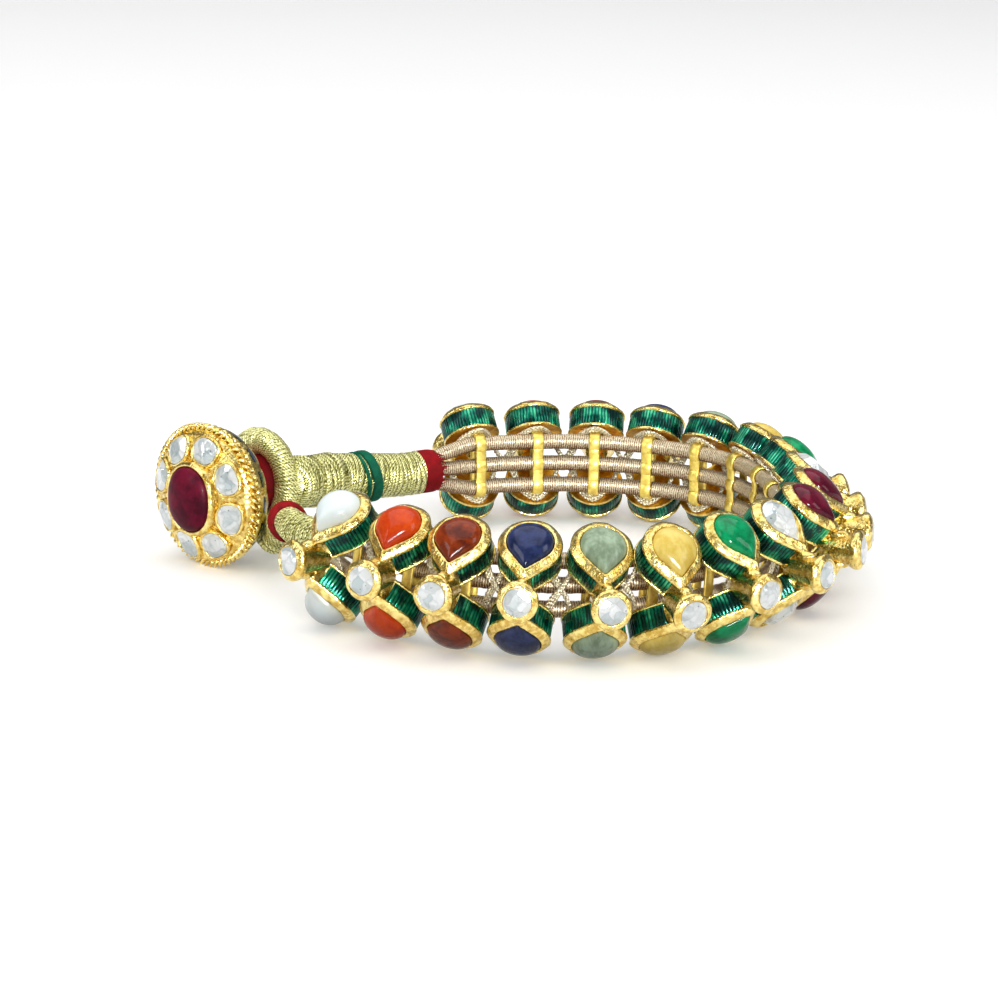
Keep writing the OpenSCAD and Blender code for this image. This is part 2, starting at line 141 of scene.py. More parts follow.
class Finish:
    """A material with one Principled shader, made node by node."""

    def __init__(self, name):
        self.material = bpy.data.materials.new(name)
        self.material.use_nodes = True
        self.tree = self.material.node_tree
        self.shader = self.tree.nodes["Principled BSDF"]

    def add(self, kind, settings=None, inputs=None, output=0):
        """Node of a kind, with its settings first and then the values or links of its sockets."""
        node = self.tree.nodes.new(kind)
        for key, value in (settings or {}).items():
            if key == "stops":
                self.set_stops(node.color_ramp, value)
            else:
                setattr(node, key, value)
        for key, value in (inputs or {}).items():
            self.feed(node.inputs[key], value)
        return Term(self, node.outputs[output])

    def set_stops(self, ramp, stops):
        while len(ramp.elements) < len(stops):
            ramp.elements.new(1.0)
        for element, (place, colour) in zip(ramp.elements, stops):
            element.position = place
            element.color = (*colour, 1.0)

    def feed(self, socket, value):
        if isinstance(value, Term):
            self.tree.links.new(value.socket, socket)
        elif isinstance(value, tuple) and len(value) == 3 and socket.type == "RGBA":
            socket.default_value = (*value, 1.0)
        else:
            socket.default_value = value

    def place(self):
        """Place on the piece, in metres."""
        return self.add("ShaderNodeTexCoord", output="Object")

    def noise(self, feature_mm, detail=2.0, roughness=0.5, stretch=(1.0, 1.0, 1.0)):
        """Soft random pattern with lumps about as wide as feature_mm."""
        squeezed = self.add("ShaderNodeVectorMath", {"operation": "MULTIPLY"}, {0: self.place(), 1: stretch})
        return self.add("ShaderNodeTexNoise", None, {
            "Vector": squeezed, "Scale": 1.0 / (feature_mm * MM), "Detail": detail, "Roughness": roughness})

    def cells(self, feature_mm):
        """Distance to scattered points about feature_mm apart."""
        return self.add("ShaderNodeTexVoronoi", None, {
            "Vector": self.place(), "Scale": 1.0 / (feature_mm * MM)})

    def stored(self, name, output="Fac"):
        """Value that the mesh carries, such as how far along the thread a point lies."""
        return self.add("ShaderNodeAttribute", {"attribute_name": name}, None, output)

    def blend(self, share, first, second):
        """Mix of two colours. A Mix node's sockets 6 and 7 and its output 2 are the ones for colours."""
        return self.add("ShaderNodeMix", {"data_type": "RGBA"}, {0: share, 6: first, 7: second}, 2)

    def ramp(self, value, stops):
        return self.add("ShaderNodeValToRGB", {"stops": stops}, {"Fac": value})

    def bump(self, height, depth_mm, strength):
        return self.add("ShaderNodeBump", None, {
            "Strength": strength, "Distance": depth_mm * MM, "Height": height})

    def done(self, **sockets):
        """Sets the shader's sockets. A socket's name is written with _ for each space."""
        for key, value in sockets.items():
            self.feed(self.shader.inputs[key.replace("_", " ")], value)
        return self.material


print("material kit ready")

# %% [markdown]
# ## Gold
# The boxes, collets and button are high-carat gold, beaten and burnished by hand: a strong
# yellow with slightly duller hollows and a few dark specks of soot that the polish left.
# The large dents are in the meshes, and the finish adds the fine unevenness. One function
# with two tones makes all three: the bright gold of the rims, the satin gold of the bars
# and the orange, smoother gold of the backs.

# %% Gold finishes
SOOT = (0.10, 0.045, 0.01)


def beaten_gold(name, bright, deep, shine, speck_share, dent_mm):
    """Beaten gold: bright and deep tone, roughness, share with dark specks, depth of the fine dents."""
    gold = Finish(name)
    cloud = gold.noise(0.9, 4.0, 0.65)
    fine = gold.noise(0.28, 3.0, 0.65)
    specks = 1.0 - gold.cells(0.55).between(0.05, 0.16)
    soot = specks * gold.noise(1.9).between(0.62 - speck_share, 0.72 - speck_share)
    tone = gold.blend(cloud.between(0.36, 0.62), deep, bright)
    colour = gold.blend(soot, tone, SOOT)
    dents = gold.cells(0.42) * 0.6 + fine * 0.7 - soot * 0.6
    return gold.done(
        Base_Color=colour, Metallic=1.0, Roughness=fine * 0.16 + soot * 0.4 + shine,
        Normal=gold.bump(dents, dent_mm, 0.8))


rim_gold = beaten_gold("rim_gold", (0.95, 0.78, 0.30), (0.60, 0.39, 0.08), 0.12, 0.20, 0.095)
bar_gold = beaten_gold("bar_gold", (0.93, 0.75, 0.20), (0.74, 0.55, 0.11), 0.34, 0.02, 0.022)
back_gold = beaten_gold("back_gold", (0.76, 0.45, 0.06), (0.56, 0.27, 0.02), 0.24, 0.0, 0.03)
print("gold:", rim_gold.name, bar_gold.name, back_gold.name)

# %% [markdown]
# ## Enamel
# The walls of the boxes are clear green enamel over ribs cut in the gold. Where the enamel
# is thin, over a rib, the gold shines through bright green. In the grooves it is nearly
# black teal. The mesh carries how near a point is to a rib's crest, and the finish mixes
# the two greens by it. A mostly metallic base under a thin clear coat gives the deep gloss,
# because most of the light comes back from the gold below and not from the glass.

# %% Enamel finishes


def ribbed_enamel():
    """Clear green enamel of the walls, lighter over the crests of the ribs."""
    enamel = Finish("green_enamel")
    rib = enamel.stored("rib")
    pool = enamel.noise(1.7, 2.0).between(0.30, 0.68)
    thin = (rib * 0.62 + pool * 0.62 - 0.26).between(0.0, 0.98)
    colour = enamel.ramp(thin, [
        (0.0, (0.000, 0.022, 0.020)), (0.38, (0.000, 0.080, 0.056)),
        (0.75, (0.001, 0.250, 0.145)), (1.0, (0.090, 0.600, 0.320))])
    return enamel.done(
        Base_Color=colour, Metallic=0.62, Roughness=enamel.noise(0.6) * 0.16 + 0.13, Coat_Weight=0.14,
        Specular_IOR_Level=0.25, Coat_Roughness=0.05, Normal=enamel.bump(enamel.noise(0.5, 2.0), 0.04, 0.5))


def plain_enamel(name, low, high):
    """Smooth enamel of the button's back, its tone drifting between two colours."""
    enamel = Finish(name)
    drift = enamel.noise(2.2).between(0.35, 0.65)
    return enamel.done(
        Base_Color=enamel.blend(drift, low, high), Metallic=0.2, Roughness=0.15, Coat_Weight=1.0,
        Coat_Roughness=0.04, Normal=enamel.bump(enamel.noise(0.7), 0.03, 0.4))


green_enamel = ribbed_enamel()
back_blue = plain_enamel("back_blue_enamel", (0.006, 0.018, 0.060), (0.020, 0.060, 0.140))
back_green = plain_enamel("back_green_enamel", (0.001, 0.022, 0.016), (0.004, 0.075, 0.045))
print("enamel:", green_enamel.name, back_blue.name, back_green.name)

# %% [markdown]
# ## Gems
# The cabochons are polished domes of nine kinds. Most are cloudy, so their colour sits in
# the stone and light goes a little way in. A table gives each gem its two colours, the size
# of its clouds, and how much it lets light scatter inside. The yellow sapphire and the
# cat's eye are streaky, which the same noise gives when it is stretched.

# %% Cabochon finishes
# One row for each gem: light tone, dark tone, cloud size in mm, stretch of the clouds, scatter, roughness
GEM_TONES = {
    "pearl": ((0.89, 0.97, 0.96), (0.82, 0.92, 0.92), 4.0, (1, 1, 1), 0.25, 0.20),
    "coral": ((0.70, 0.075, 0.006), (0.56, 0.040, 0.003), 2.2, (1, 1, 1), 0.12, 0.14),
    "hessonite": ((0.32, 0.042, 0.005), (0.100, 0.014, 0.005), 2.4, (1, 1, 1.6), 0.06, 0.12),
    "blue_sapphire": ((0.032, 0.048, 0.150), (0.010, 0.017, 0.062), 1.6, (1, 1, 1), 0.05, 0.12),
    "cats_eye": ((0.40, 0.52, 0.36), (0.21, 0.285, 0.180), 2.6, (1.8, 1.8, 0.6), 0.10, 0.14),
    "yellow_sapphire": ((0.86, 0.68, 0.19), (0.72, 0.50, 0.080), 2.4, (1.6, 1.6, 0.8), 0.15, 0.16),
    "emerald": ((0.003, 0.400, 0.145), (0.001, 0.180, 0.060), 1.8, (1, 1, 1), 0.03, 0.10),
    "ruby": ((0.190, 0.007, 0.030), (0.075, 0.003, 0.015), 1.8, (1, 1, 1), 0.04, 0.12),
}


def cabochon_finish(gem, name=None, haze=0.0):
    """Polished cabochon of a gem. Haze dulls its surface."""
    light, dark, cloud_mm, stretch, scatter, rough = GEM_TONES[gem]
    stone = Finish(name or "polished_" + gem)
    cloud = stone.noise(cloud_mm, 4.0, 0.6, stretch)
    wisps = stone.noise(cloud_mm * 0.35, 3.0, 0.7, stretch)
    share = (cloud * 0.75 + wisps * 0.25).between(0.36, 0.64)
    stone.shader.inputs["Subsurface Radius"].default_value = (0.0012, 0.0010, 0.0008)
    return stone.done(
        Base_Color=stone.blend(share, dark, light), Roughness=wisps * 0.06 + (rough + haze),
        Specular_IOR_Level=0.14 - 0.2 * haze, Coat_Weight=0.16 - 0.5 * haze, Coat_Roughness=0.04,
        Subsurface_Weight=scatter, Subsurface_Scale=1.0,
        Normal=stone.bump(stone.noise(1.1), 0.05, 0.35))


cabochon_finishes = {gem: cabochon_finish(gem) for gem in GEM_TONES}
large_ruby = cabochon_finish("ruby", "large_ruby", 0.28)
print("cabochons:", ", ".join(sorted(cabochon_finishes)))

# %% [markdown]
# ## Uncut diamonds
# The pale stones are flat, uncut diamonds over silver foil. Each has a few broad facets,
# and through them the crinkled foil shows as patches of white and grey: light that the foil
# mirrors. Real refraction would hide the foil's pattern in noise, so the patches are painted
# reflections in the colour: cells with a tone each and faint lines where they meet, under a
# clear hard coat.

# %% Diamond finish
# Patches of foil in a metre, and how far the crinkles push a patch's edge, in metres
FOIL_PATCHES = 700.0
FOIL_PUSH = (0.0012, 0.0012, 0.0012)


def foiled_diamond():
    """Clear stone over crinkled silver foil."""
    stone = Finish("foiled_diamond")
    warp = stone.noise(0.9, 2.0)
    crinkle = stone.add("ShaderNodeTexNoise", None, {"Vector": stone.place(), "Scale": FOIL_PATCHES}, "Color")
    place = stone.add("ShaderNodeVectorMath", {"operation": "MULTIPLY_ADD"},
                      {0: crinkle, 1: FOIL_PUSH, 2: stone.place()})
    foil_sheet = {"Vector": place, "Scale": FOIL_PATCHES}
    patch = stone.add("ShaderNodeTexVoronoi", {"feature": "F1"}, foil_sheet, "Color")
    tone = stone.add("ShaderNodeSeparateColor", None, {"Color": patch})
    edge = stone.add("ShaderNodeTexVoronoi", {"feature": "DISTANCE_TO_EDGE"}, foil_sheet)
    # Painted reflection of the crinkled foil: faint dark lines where patches meet, and a bright or grey tone
    # for each patch.
    line = 1.0 - edge.between(0.02, 0.13)
    foil_reflection_share = (tone * 0.7 + warp * 0.5).between(0.22, 0.72)
    foil = stone.blend(foil_reflection_share, (0.60, 0.69, 0.70), (0.97, 1.0, 0.99))
    speck = (1.0 - stone.cells(1.0).between(0.06, 0.12)) * 0.8
    colour = stone.blend(line * 0.13 + speck, foil, (0.10, 0.13, 0.14))
    return stone.done(
        Base_Color=colour, Metallic=0.18, Roughness=tone * 0.12 + 0.06, Coat_Weight=1.0, Coat_Roughness=0.02,
        Normal=stone.bump(tone + edge, 0.14, 0.6))


diamond_finish = foiled_diamond()
print("diamonds:", diamond_finish.name)

# %% [markdown]
# ## Threads and silk
# Cords, neck and loop are wound with metallic thread, flat gold strip spun round a core.
# Every turn of the gold thread is real geometry, and the colour also darkens between turns as
# painted shade. What is finer is drawn: the twist of each thread crosses it slantwise as bright
# and dark flecks, which are painted highlights and shade, with painted glints over them. The
# meshes carry a pair of coordinates, along the cord in mm and round it as a share, so the
# flecks follow the turns.
# The neck is thicker than the loop, so the same three tones make two gold finishes that
# differ mostly in how many flecks go round.

# %% Thread finishes


def wound_thread(name, bright, mid, deep, turn_mm, flecks, fleck_share, groove, shine, metal, painted_under_shade=0.0):
    """Thread wound round a core, in three tones.

    turn_mm is the pitch of the turns, or None where the mesh has them. The flecks are so many round the cord.
    Groove is how dark the painted shade between two turns is, and underside how much painted shade darkens
    the lower side.
    """
    thread = Finish(name)
    along_round = thread.stored("winding", "Vector")
    along = thread.add("ShaderNodeSeparateXYZ", None, {0: along_round}, "X")
    around = Term(thread, along.socket.node.outputs["Y"])
    wander = thread.noise(1.8, 2.0) * 1.2
    if turn_mm:
        crest = (along / turn_mm + around + wander).wave()
    else:
        crest = thread.stored("rib")
    # Bright and dark flecks along the twist of each thread: painted highlights and shade, also used in the
    # bump.
    twist = (around * flecks + along * 2.6 + wander * 2.0).wave()
    # Painted glints in the colour, which also vary the roughness and the bump.
    glint = thread.noise(0.20, 2.0, 0.7)
    # Painted shade: the colour darkens between the turns, away from each crest.
    turns = crest.between(0.15, 0.9) * groove + (1.0 - groove)
    strand = turns * (twist * fleck_share + (1.0 - fleck_share))
    # Painted shade: the lower side of the cord is darkened in the colour.
    below = (around * (2.0 * math.pi)).math("SINE").between(-0.2, 1.0) * painted_under_shade
    light = (strand * 0.85 + glint * 2.0 - below - 0.92).between(0.0, 0.90)
    colour = thread.ramp(light, [(0.0, deep), (0.45, mid), (1.0, bright)])
    height = crest * (0.6 * groove) + twist * (0.5 * fleck_share) + glint * 0.25
    return thread.done(
        Base_Color=colour, Metallic=metal, Roughness=glint * 0.2 + shine,
        Normal=thread.bump(height, 0.07, 0.9))


# Bright, middle and deep tone of the gold thread
GOLD_THREAD_TONES = ((0.97, 0.96, 0.52), (0.54, 0.52, 0.120), (0.034, 0.030, 0.002))
neck_thread = wound_thread(
    "coarse_gold_thread", *GOLD_THREAD_TONES,
    turn_mm=None, flecks=46.0, fleck_share=0.75, groove=0.90, shine=0.20, metal=0.55)
loop_thread = wound_thread(
    "fine_gold_thread", *GOLD_THREAD_TONES,
    turn_mm=None, flecks=25.0, fleck_share=0.70, groove=0.95, shine=0.20, metal=0.55)
# The cords carry painted shade on their lower side.
champagne_thread = wound_thread(
    "champagne_thread", (0.77, 0.69, 0.50), (0.37, 0.250, 0.130), (0.160, 0.052, 0.010),
    turn_mm=0.30, flecks=11.0, fleck_share=0.16, groove=0.60, shine=0.30, metal=0.5, painted_under_shade=0.46)
lacing_thread = wound_thread(
    "lacing_thread", (1.0, 0.97, 0.80), (0.66, 0.58, 0.36), (0.10, 0.06, 0.02),
    turn_mm=0.34, flecks=2.0, fleck_share=0.35, groove=0.50, shine=0.24, metal=0.4)


SILK_TURN_MM = 0.16


def wound_silk(name, bright, deep):
    """Smooth wound silk: soft, with fine threads along the winding."""
    silk = Finish(name)
    along_round = silk.stored("winding", "Vector")
    along = silk.add("ShaderNodeSeparateXYZ", None, {0: along_round}, "X")
    crest = (along / SILK_TURN_MM + silk.noise(0.8) * 1.5).wave()
    drift = silk.noise(1.1, 3.0)
    # Partly painted shade: the colour darkens between the turns of silk, over a random drift of tone.
    share = (crest * 0.45 + drift * 0.9 - 0.2).between(0.0, 0.9)
    return silk.done(
        Base_Color=silk.blend(share, deep, bright), Roughness=0.75, Specular_IOR_Level=0.15,
        Normal=silk.bump(crest + drift, 0.05, 0.7))


red_silk = wound_silk("crimson_silk", (0.46, 0.002, 0.008), (0.15, 0.000, 0.002))
green_silk = wound_silk("deep_green_silk", (0.002, 0.210, 0.105), (0.000, 0.060, 0.036))
print("threads:", neck_thread.name, loop_thread.name, champagne_thread.name, lacing_thread.name)
print("silk:", red_silk.name, green_silk.name)

# %% [markdown]
# ## Gathering surfaces into pieces
# A piece, such as one gold setting, is made of many surfaces: two boxes, a collet, a bar.
# A pile collects them as arrays of points and faces in millimetres, each with the number of
# its finish, and turns them into one mesh at the end. Most surfaces are grids, rows of
# points joined to their neighbours, so one function makes the faces of any grid.

# %% Piles of surfaces


def grid_faces(rows, cols, close_rows=False, close_cols=True):
    """Four-sided faces of a grid of points, stored row by row."""
    last_row = rows if close_rows else rows - 1
    last_col = cols if close_cols else cols - 1
    r, c = np.meshgrid(np.arange(last_row), np.arange(last_col), indexing="ij")
    r2, c2 = (r + 1) % rows, (c + 1) % cols
    return np.stack([r * cols + c, r * cols + c2, r2 * cols + c2, r2 * cols + c], axis=-1).reshape(-1, 4)


def tube_faces(rows, cols, first=True, last=True):
    """Faces of a tube's grid, with a flat face over its first and its last row."""
    faces = list(grid_faces(rows, cols))
    if first:
        faces.append(list(range(cols))[::-1])
    if last:
        faces.append([(rows - 1) * cols + k for k in range(cols)])
    return faces


def full_turn(count):
    """Evenly spaced angles, once round."""
    return np.arange(count) / count * 2.0 * math.pi


def round_points(radius, turn, height):
    """Points round Z. Radius, angle and height may each be one value or many."""
    return np.stack(np.broadcast_arrays(radius * np.cos(turn), radius * np.sin(turn), height), axis=-1)


def grid_winding(rows, cols, along):
    """Along and round coordinates for the four corners of every face of a tube's grid."""
    a = np.asarray(along)
    turn = np.arange(cols + 1) / cols
    r, c = np.meshgrid(np.arange(rows - 1), np.arange(cols), indexing="ij")
    corners = [(a[r], turn[c]), (a[r], turn[c + 1]), (a[r + 1], turn[c + 1]), (a[r + 1], turn[c])]
    return np.stack([np.stack([x, y], -1) for x, y in corners], axis=-2).reshape(-1, 2)


class Pile:
    """Surfaces of one piece, in millimetres."""

    def __init__(self):
        self.points, self.faces, self.finish, self.smooth = [], [], [], []
        self.winding, self.rib = [], []
        self.count = 0

    def add(self, points, faces, finish=0, smooth=True, winding=None, rib=None):
        """Adds a surface, with a winding for each face's corners and a rib for each point if it has them."""
        points = np.asarray(points, float).reshape(-1, 3)
        faces = [[int(k) + self.count for k in face] for face in faces]
        self.points.append(points)
        self.faces += faces
        self.finish += [finish] * len(faces)
        self.smooth += [smooth] * len(faces)
        corners = sum(len(face) for face in faces)
        self.winding.append(np.zeros((corners, 2)) if winding is None else winding)
        self.rib.append(np.zeros(len(points)) if rib is None else np.asarray(rib).ravel())
        self.count += len(points)

    def tube(self, rings, along, rib=None):
        """Closed tube through rings of points, with flat ends. along is each ring's place on the cord."""
        rows, cols = rings.shape[:2]
        ends = np.repeat([[along[0], 0.0], [along[-1], 0.0]], cols, axis=0)
        winding = np.concatenate([grid_winding(rows, cols, along), ends])
        self.add(rings, tube_faces(rows, cols), winding=winding, rib=rib)

    def piece(self, name, finishes, slot, replaced=()):
        """Makes the piece: its mesh, finishes, body and the nodes that it stands for. The slot is not used.
        """
        mesh = bpy.data.meshes.new(name)
        mesh.from_pydata((np.concatenate(self.points) * MM).tolist(), [], self.faces)
        for finish in finishes:
            mesh.materials.append(finish)
        mesh.polygons.foreach_set("material_index", self.finish)
        mesh.polygons.foreach_set("use_smooth", self.smooth)
        winding = np.concatenate(self.winding)
        if winding.any():
            stored = mesh.attributes.new("winding", "FLOAT_VECTOR", "CORNER")
            stored.data.foreach_set("vector", np.column_stack([winding, np.zeros(len(winding))]).ravel())
        rib = np.concatenate(self.rib)
        if rib.any():
            mesh.attributes.new("rib", "FLOAT", "POINT").data.foreach_set("value", rib)
        mesh.update()
        piece = bpy.data.objects.new(name, mesh)
        bpy.context.collection.objects.link(piece)
        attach(piece, BODY)
        if replaced:
            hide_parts(*replaced)
        return piece


print("pile ready")

# %% [markdown]
# ## Places that the frame gives
# Each stone in the frame has a flat base. Its largest flat group of faces gives the
# direction that the stone faces, and the point of its outline farthest from the middle
# is the drop's tip. With that, every box gets its own small set of axes: X to the tip,
# Z out of the stone. A station's axes follow from its two boxes.

# %% Reading the frame


def node_points(name):
    """A node's corner points without repeats, in millimetres, and its triangles."""
    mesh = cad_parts[name].data
    raw = np.array([v.co for v in mesh.vertices]) / MM
    points, same = np.unique(np.round(raw, 4), axis=0, return_inverse=True)
    same = same.ravel()
    triangles = np.array([[same[k] for k in p.vertices] for p in mesh.polygons])
    return points, triangles


def loose_parts(name):
    """The separate solids of a node, each as points and triangles."""
    points, triangles = node_points(name)
    group = np.arange(len(points))
    changed = True
    while changed:
        low = group[triangles].min(1)
        new = group.copy()
        for k in range(3):
            np.minimum.at(new, triangles[:, k], low)
        changed = bool((new != group).any())
        group = new
    for mark in np.unique(group):
        mine = triangles[group[triangles[:, 0]] == mark]
        used = np.unique(mine)
        yield points[used], np.searchsorted(used, mine)


UP = np.array([0.0, 0.0, 1.0])


def unit(v):
    v = np.asarray(v, float)
    return v / np.linalg.norm(v)


def sound_triangles(points, triangles):
    """The triangles that have an area, with their outward directions and twice their areas."""
    corner = points[triangles]
    cross = np.cross(corner[:, 1] - corner[:, 0], corner[:, 2] - corner[:, 0])
    size = np.linalg.norm(cross, axis=1)
    keep = size > 1e-9
    return triangles[keep], cross[keep] / size[keep, None], size[keep]


def largest_flat(points, triangles):
    """Outward direction and points of the largest flat face of a solid."""
    triangles, normal, size = sound_triangles(points, triangles)
    best, best_size = None, 0.0
    for direction in np.unique(np.round(normal, 2), axis=0):
        mine = (normal @ unit(direction)) > 0.9995
        if size[mine].sum() > best_size:
            best, best_size = mine, size[mine].sum()
    return unit(normal[best].mean(0)), points[np.unique(triangles[best])]


class Axes:
    """A place with its own X, Y and Z directions."""

    def __init__(self, origin, x, z):
        self.origin = np.asarray(origin, float)
        self.z = unit(z)
        self.x = unit(x - np.dot(x, self.z) * self.z)
        self.y = np.cross(self.z, self.x)

    def out(self, points):
        """Points given in these axes, in the bracelet's frame."""
        points = np.asarray(points, float)
        return self.origin + points @ np.stack([self.x, self.y, self.z])


# %% [markdown]
# The driving sizes below are those of the frame, in millimetres. The frame's own meshes
# give the places, and these give the forms in between.

# %% Driving sizes
STONE_R = 2.7
TIP_RATIO = 1.46
SEAT_DEPTH = 0.4
GIRDLE = 0.45
BOX_R = 3.75
BOX_OUT = 4.5
COLLET_OUT = 11.3
COLLET_STONE_R = 1.65
CORD_PITCH = 2.9
GEMS = ["pearl", "coral", "hessonite", "blue_sapphire", "cats_eye",
        "yellow_sapphire", "emerald", "diamond", "ruby"]
STATION_GEMS = GEMS + GEMS[::-1]


def drop_axes(points, triangles):
    """Axes of a drop-shaped box: X to the tip, Z out of the stone, origin on the box's face."""
    inward, base = largest_flat(points, triangles)
    middle = base.mean(0)
    tip = base[np.argmax(np.linalg.norm(base - middle, axis=1))]
    to_tip = unit(tip - middle)
    origin = tip - to_tip * STONE_R * TIP_RATIO - inward * SEAT_DEPTH
    return Axes(origin, to_tip, -inward)


class Station:
    """One station: its number, its gem, the axes of both boxes and its own axes."""

    def __init__(self, number):
        self.number = number
        self.gem = STATION_GEMS[number - 1]
        self.gem_node = f"{self.gem}_pair_{number:02d}"
        self.setting_node = f"setting_{number:02d}"
        stones = list(loose_parts(self.gem_node))
        boxes = [drop_axes(*stone) for stone in stones]
        self.stone_height = float(((stones[0][0] - boxes[0].origin) @ boxes[0].z).max()) - GIRDLE
        self.upper, self.lower = sorted(boxes, key=lambda box: -box.origin[2])
        outward = self.upper.z + self.lower.z
        upward = self.upper.origin - self.lower.origin
        middle = (self.upper.origin + self.lower.origin) / 2
        self.axes = Axes(middle - unit(outward) * BOX_OUT, outward, upward)


stations = [Station(number) for number in range(1, len(STATION_GEMS) + 1)]
print("stations:", len(stations))
print("first at", stations[0].axes.origin.round(2), "last at", stations[-1].axes.origin.round(2))

# %% [markdown]
# ## Drop outlines and beaten metal
# Every box, stone and bezel shares one outline: a round end and two straight sides that meet
# at a tip. It is laid out once with evenly spaced points and scaled for each ring.
# Beaten metal is not random fuzz: the hammer leaves small flats that meet in soft edges.
# Straight lines between random heights give just that.

# %% Outline and hammer marks
OUTLINE_POINTS = 96


def drop_outline(count):
    """Evenly spaced points of a drop of radius 1 with its tip at +X, starting at the tip."""
    opening = math.acos(1.0 / TIP_RATIO)
    side = math.sqrt(TIP_RATIO ** 2 - 1.0)
    turn = 2.0 * (math.pi - opening)
    s = np.arange(count) / count * (2.0 * side + turn)
    start = np.array([math.cos(opening), math.sin(opening)])
    end = start * (1.0, -1.0)
    tip = np.array([TIP_RATIO, 0.0])
    outline = np.empty((count, 2))
    for k, d in enumerate(s):
        if d < side:
            outline[k] = tip + (start - tip) * d / side
        elif d < side + turn:
            angle = opening + d - side
            outline[k] = math.cos(angle), math.sin(angle)
        else:
            outline[k] = end + (tip - end) * (d - side - turn) / side
    for _ in range(2):
        outline = (outline * 2.0 + np.roll(outline, 1, 0) + np.roll(outline, -1, 0)) / 4.0
    return outline


def hammer_flats(count, flats, depth, rng):
    """Heights round a closed ring: straight between random heights at uneven steps."""
    knots = np.sort((np.arange(flats) + rng.uniform(-0.35, 0.35, flats)) / flats % 1.0)
    heights = rng.uniform(-depth, depth, flats)
    return np.interp(np.arange(count) / count, knots, heights, period=1.0)


def round_ridge(phase):
    """Height of a rounded ridge: 0 where the phase is 0 or 1, and 1 half way."""
    return np.sqrt(np.maximum(1.0 - (2.0 * phase - 1.0) ** 2, 0.0))


def near_tip(outline, reach):
    """1 at the tip of an outline of radius 1, falling to 0 at a distance of reach radii."""
    away = np.linalg.norm(outline - np.array([TIP_RATIO, 0.0]), axis=1) / reach
    return np.clip(1.0 - away ** 3, 0.0, 1.0)


DROP = drop_outline(OUTLINE_POINTS)
POST_REACH = 0.42
TIP_POST = near_tip(DROP, POST_REACH)
print("outline:", len(DROP), "points, length", round(float(np.ptp(DROP[:, 0])), 3), "radii")

# %% [markdown]
# ## The gold of a station
# A drop box is a shell lofted along its outline. From the stone outward it has a thin lip
# pressed over the stone, a broad beaten bevel, the thick edge of the rim, the plain wall that
# carries the enamel, a gold edge at the back, and the flat orange back. The profile is a
# short table of radius and height, and the hammer marks are laid on the bevel.

# %% Drop boxes
WALL_INNER_R = 3.48
# Profile of a box from under the stone to its back: radius, height, share of the hammer marks
BOX_PROFILE = [
    (1.30, -0.42, 0.0), (2.73, -0.42, 0.0), (2.735, 0.38, 0.0), (2.74, 0.50, 0.3), (2.84, 0.57, 0.5),
    (2.98, 0.55, 0.7), (3.20, 0.42, 1.0), (3.45, 0.20, 1.0), (3.66, -0.02, 0.9), (3.76, -0.16, 0.6),
    (3.75, -0.34, 0.5), (3.66, -0.45, 0.3), (WALL_INNER_R, -0.47, 0.0), (WALL_INNER_R, -2.84, 0.0),
    (3.62, -2.86, 0.2), (3.74, -2.94, 0.4), (3.75, -3.10, 0.4), (3.66, -3.20, 0.3),
]
# Rings of the back plate: radius, height, share of the dents
BACK_PROFILE = [(3.40, -3.22, 0.3), (2.60, -3.20, 1.0), (1.70, -3.19, 1.0), (0.80, -3.19, 1.0)]
# Hammer marks by the stone, at the rim and on the back: flats round the box, depth
BOX_MARKS = [(26, 0.07), (21, 0.10), (7, 0.07)]
# How far the wall swells to a post at the tip, as a share of the outline
POST_SWELL = 0.20
# A gold setting's finishes, by their place in its list
RIM, BACK, BAR = 0, 1, 2


def drop_box(pile, box, rng):
    """Gold box under one drop stone."""
    count = len(DROP)
    by_stone, at_rim, on_back = [hammer_flats(count, *marks, rng) for marks in BOX_MARKS]
    rings = []
    for radius, height, share in BOX_PROFILE:
        mix = min(max((radius - STONE_R) / (BOX_R - STONE_R), 0.0), 1.0)
        push = (by_stone * (1.0 - mix) + at_rim * mix) * share
        post = TIP_POST * POST_SWELL if radius == WALL_INNER_R else 0.0
        rings.append(np.column_stack([DROP * (radius + post + 0.7 * push)[:, None], height + push]))
    plate = [rings[-1]]
    for radius, height, share in BACK_PROFILE:
        plate.append(np.column_stack([DROP * radius, height + on_back * share]))
    pile.add(box.out(np.concatenate(rings)), tube_faces(len(rings), count, last=False), RIM)
    pile.add(box.out(np.concatenate(plate)), tube_faces(len(plate), count, first=False), BACK)


# %% [markdown]
# A collet is a short trumpet: narrow where the tips of the two boxes are soldered to it,
# flaring to a thick beaten rim round its stone. Small fillets of solder fill the corners.

# %% Collets and solder
# Profile of a collet: distance out from the cords, radius, share of the hammer marks
COLLET_PROFILE = [
    (6.10, 0.90, 0.0), (6.15, 1.45, 0.2), (7.00, 1.52, 0.4), (7.90, 1.62, 0.6), (8.80, 1.78, 0.8),
    (9.55, 1.98, 1.0), (10.10, 2.22, 1.0), (10.42, 2.38, 1.0), (10.75, 2.42, 0.8), (10.98, 2.36, 0.8),
    (11.14, 2.18, 1.0), (11.28, 1.96, 1.0), (11.40, 1.80, 0.5), (11.38, 1.70, 0.2), (11.20, 1.67, 0.0),
    (10.80, 1.66, 0.0), (10.80, 0.80, 0.0),
]
COLLET_RIM_FROM = 10.0
COLLET_POINTS = 56
# Hammer marks of the rim and of the neck: flats round the collet, depth
COLLET_MARKS = [(15, 0.085), (9, 0.10)]


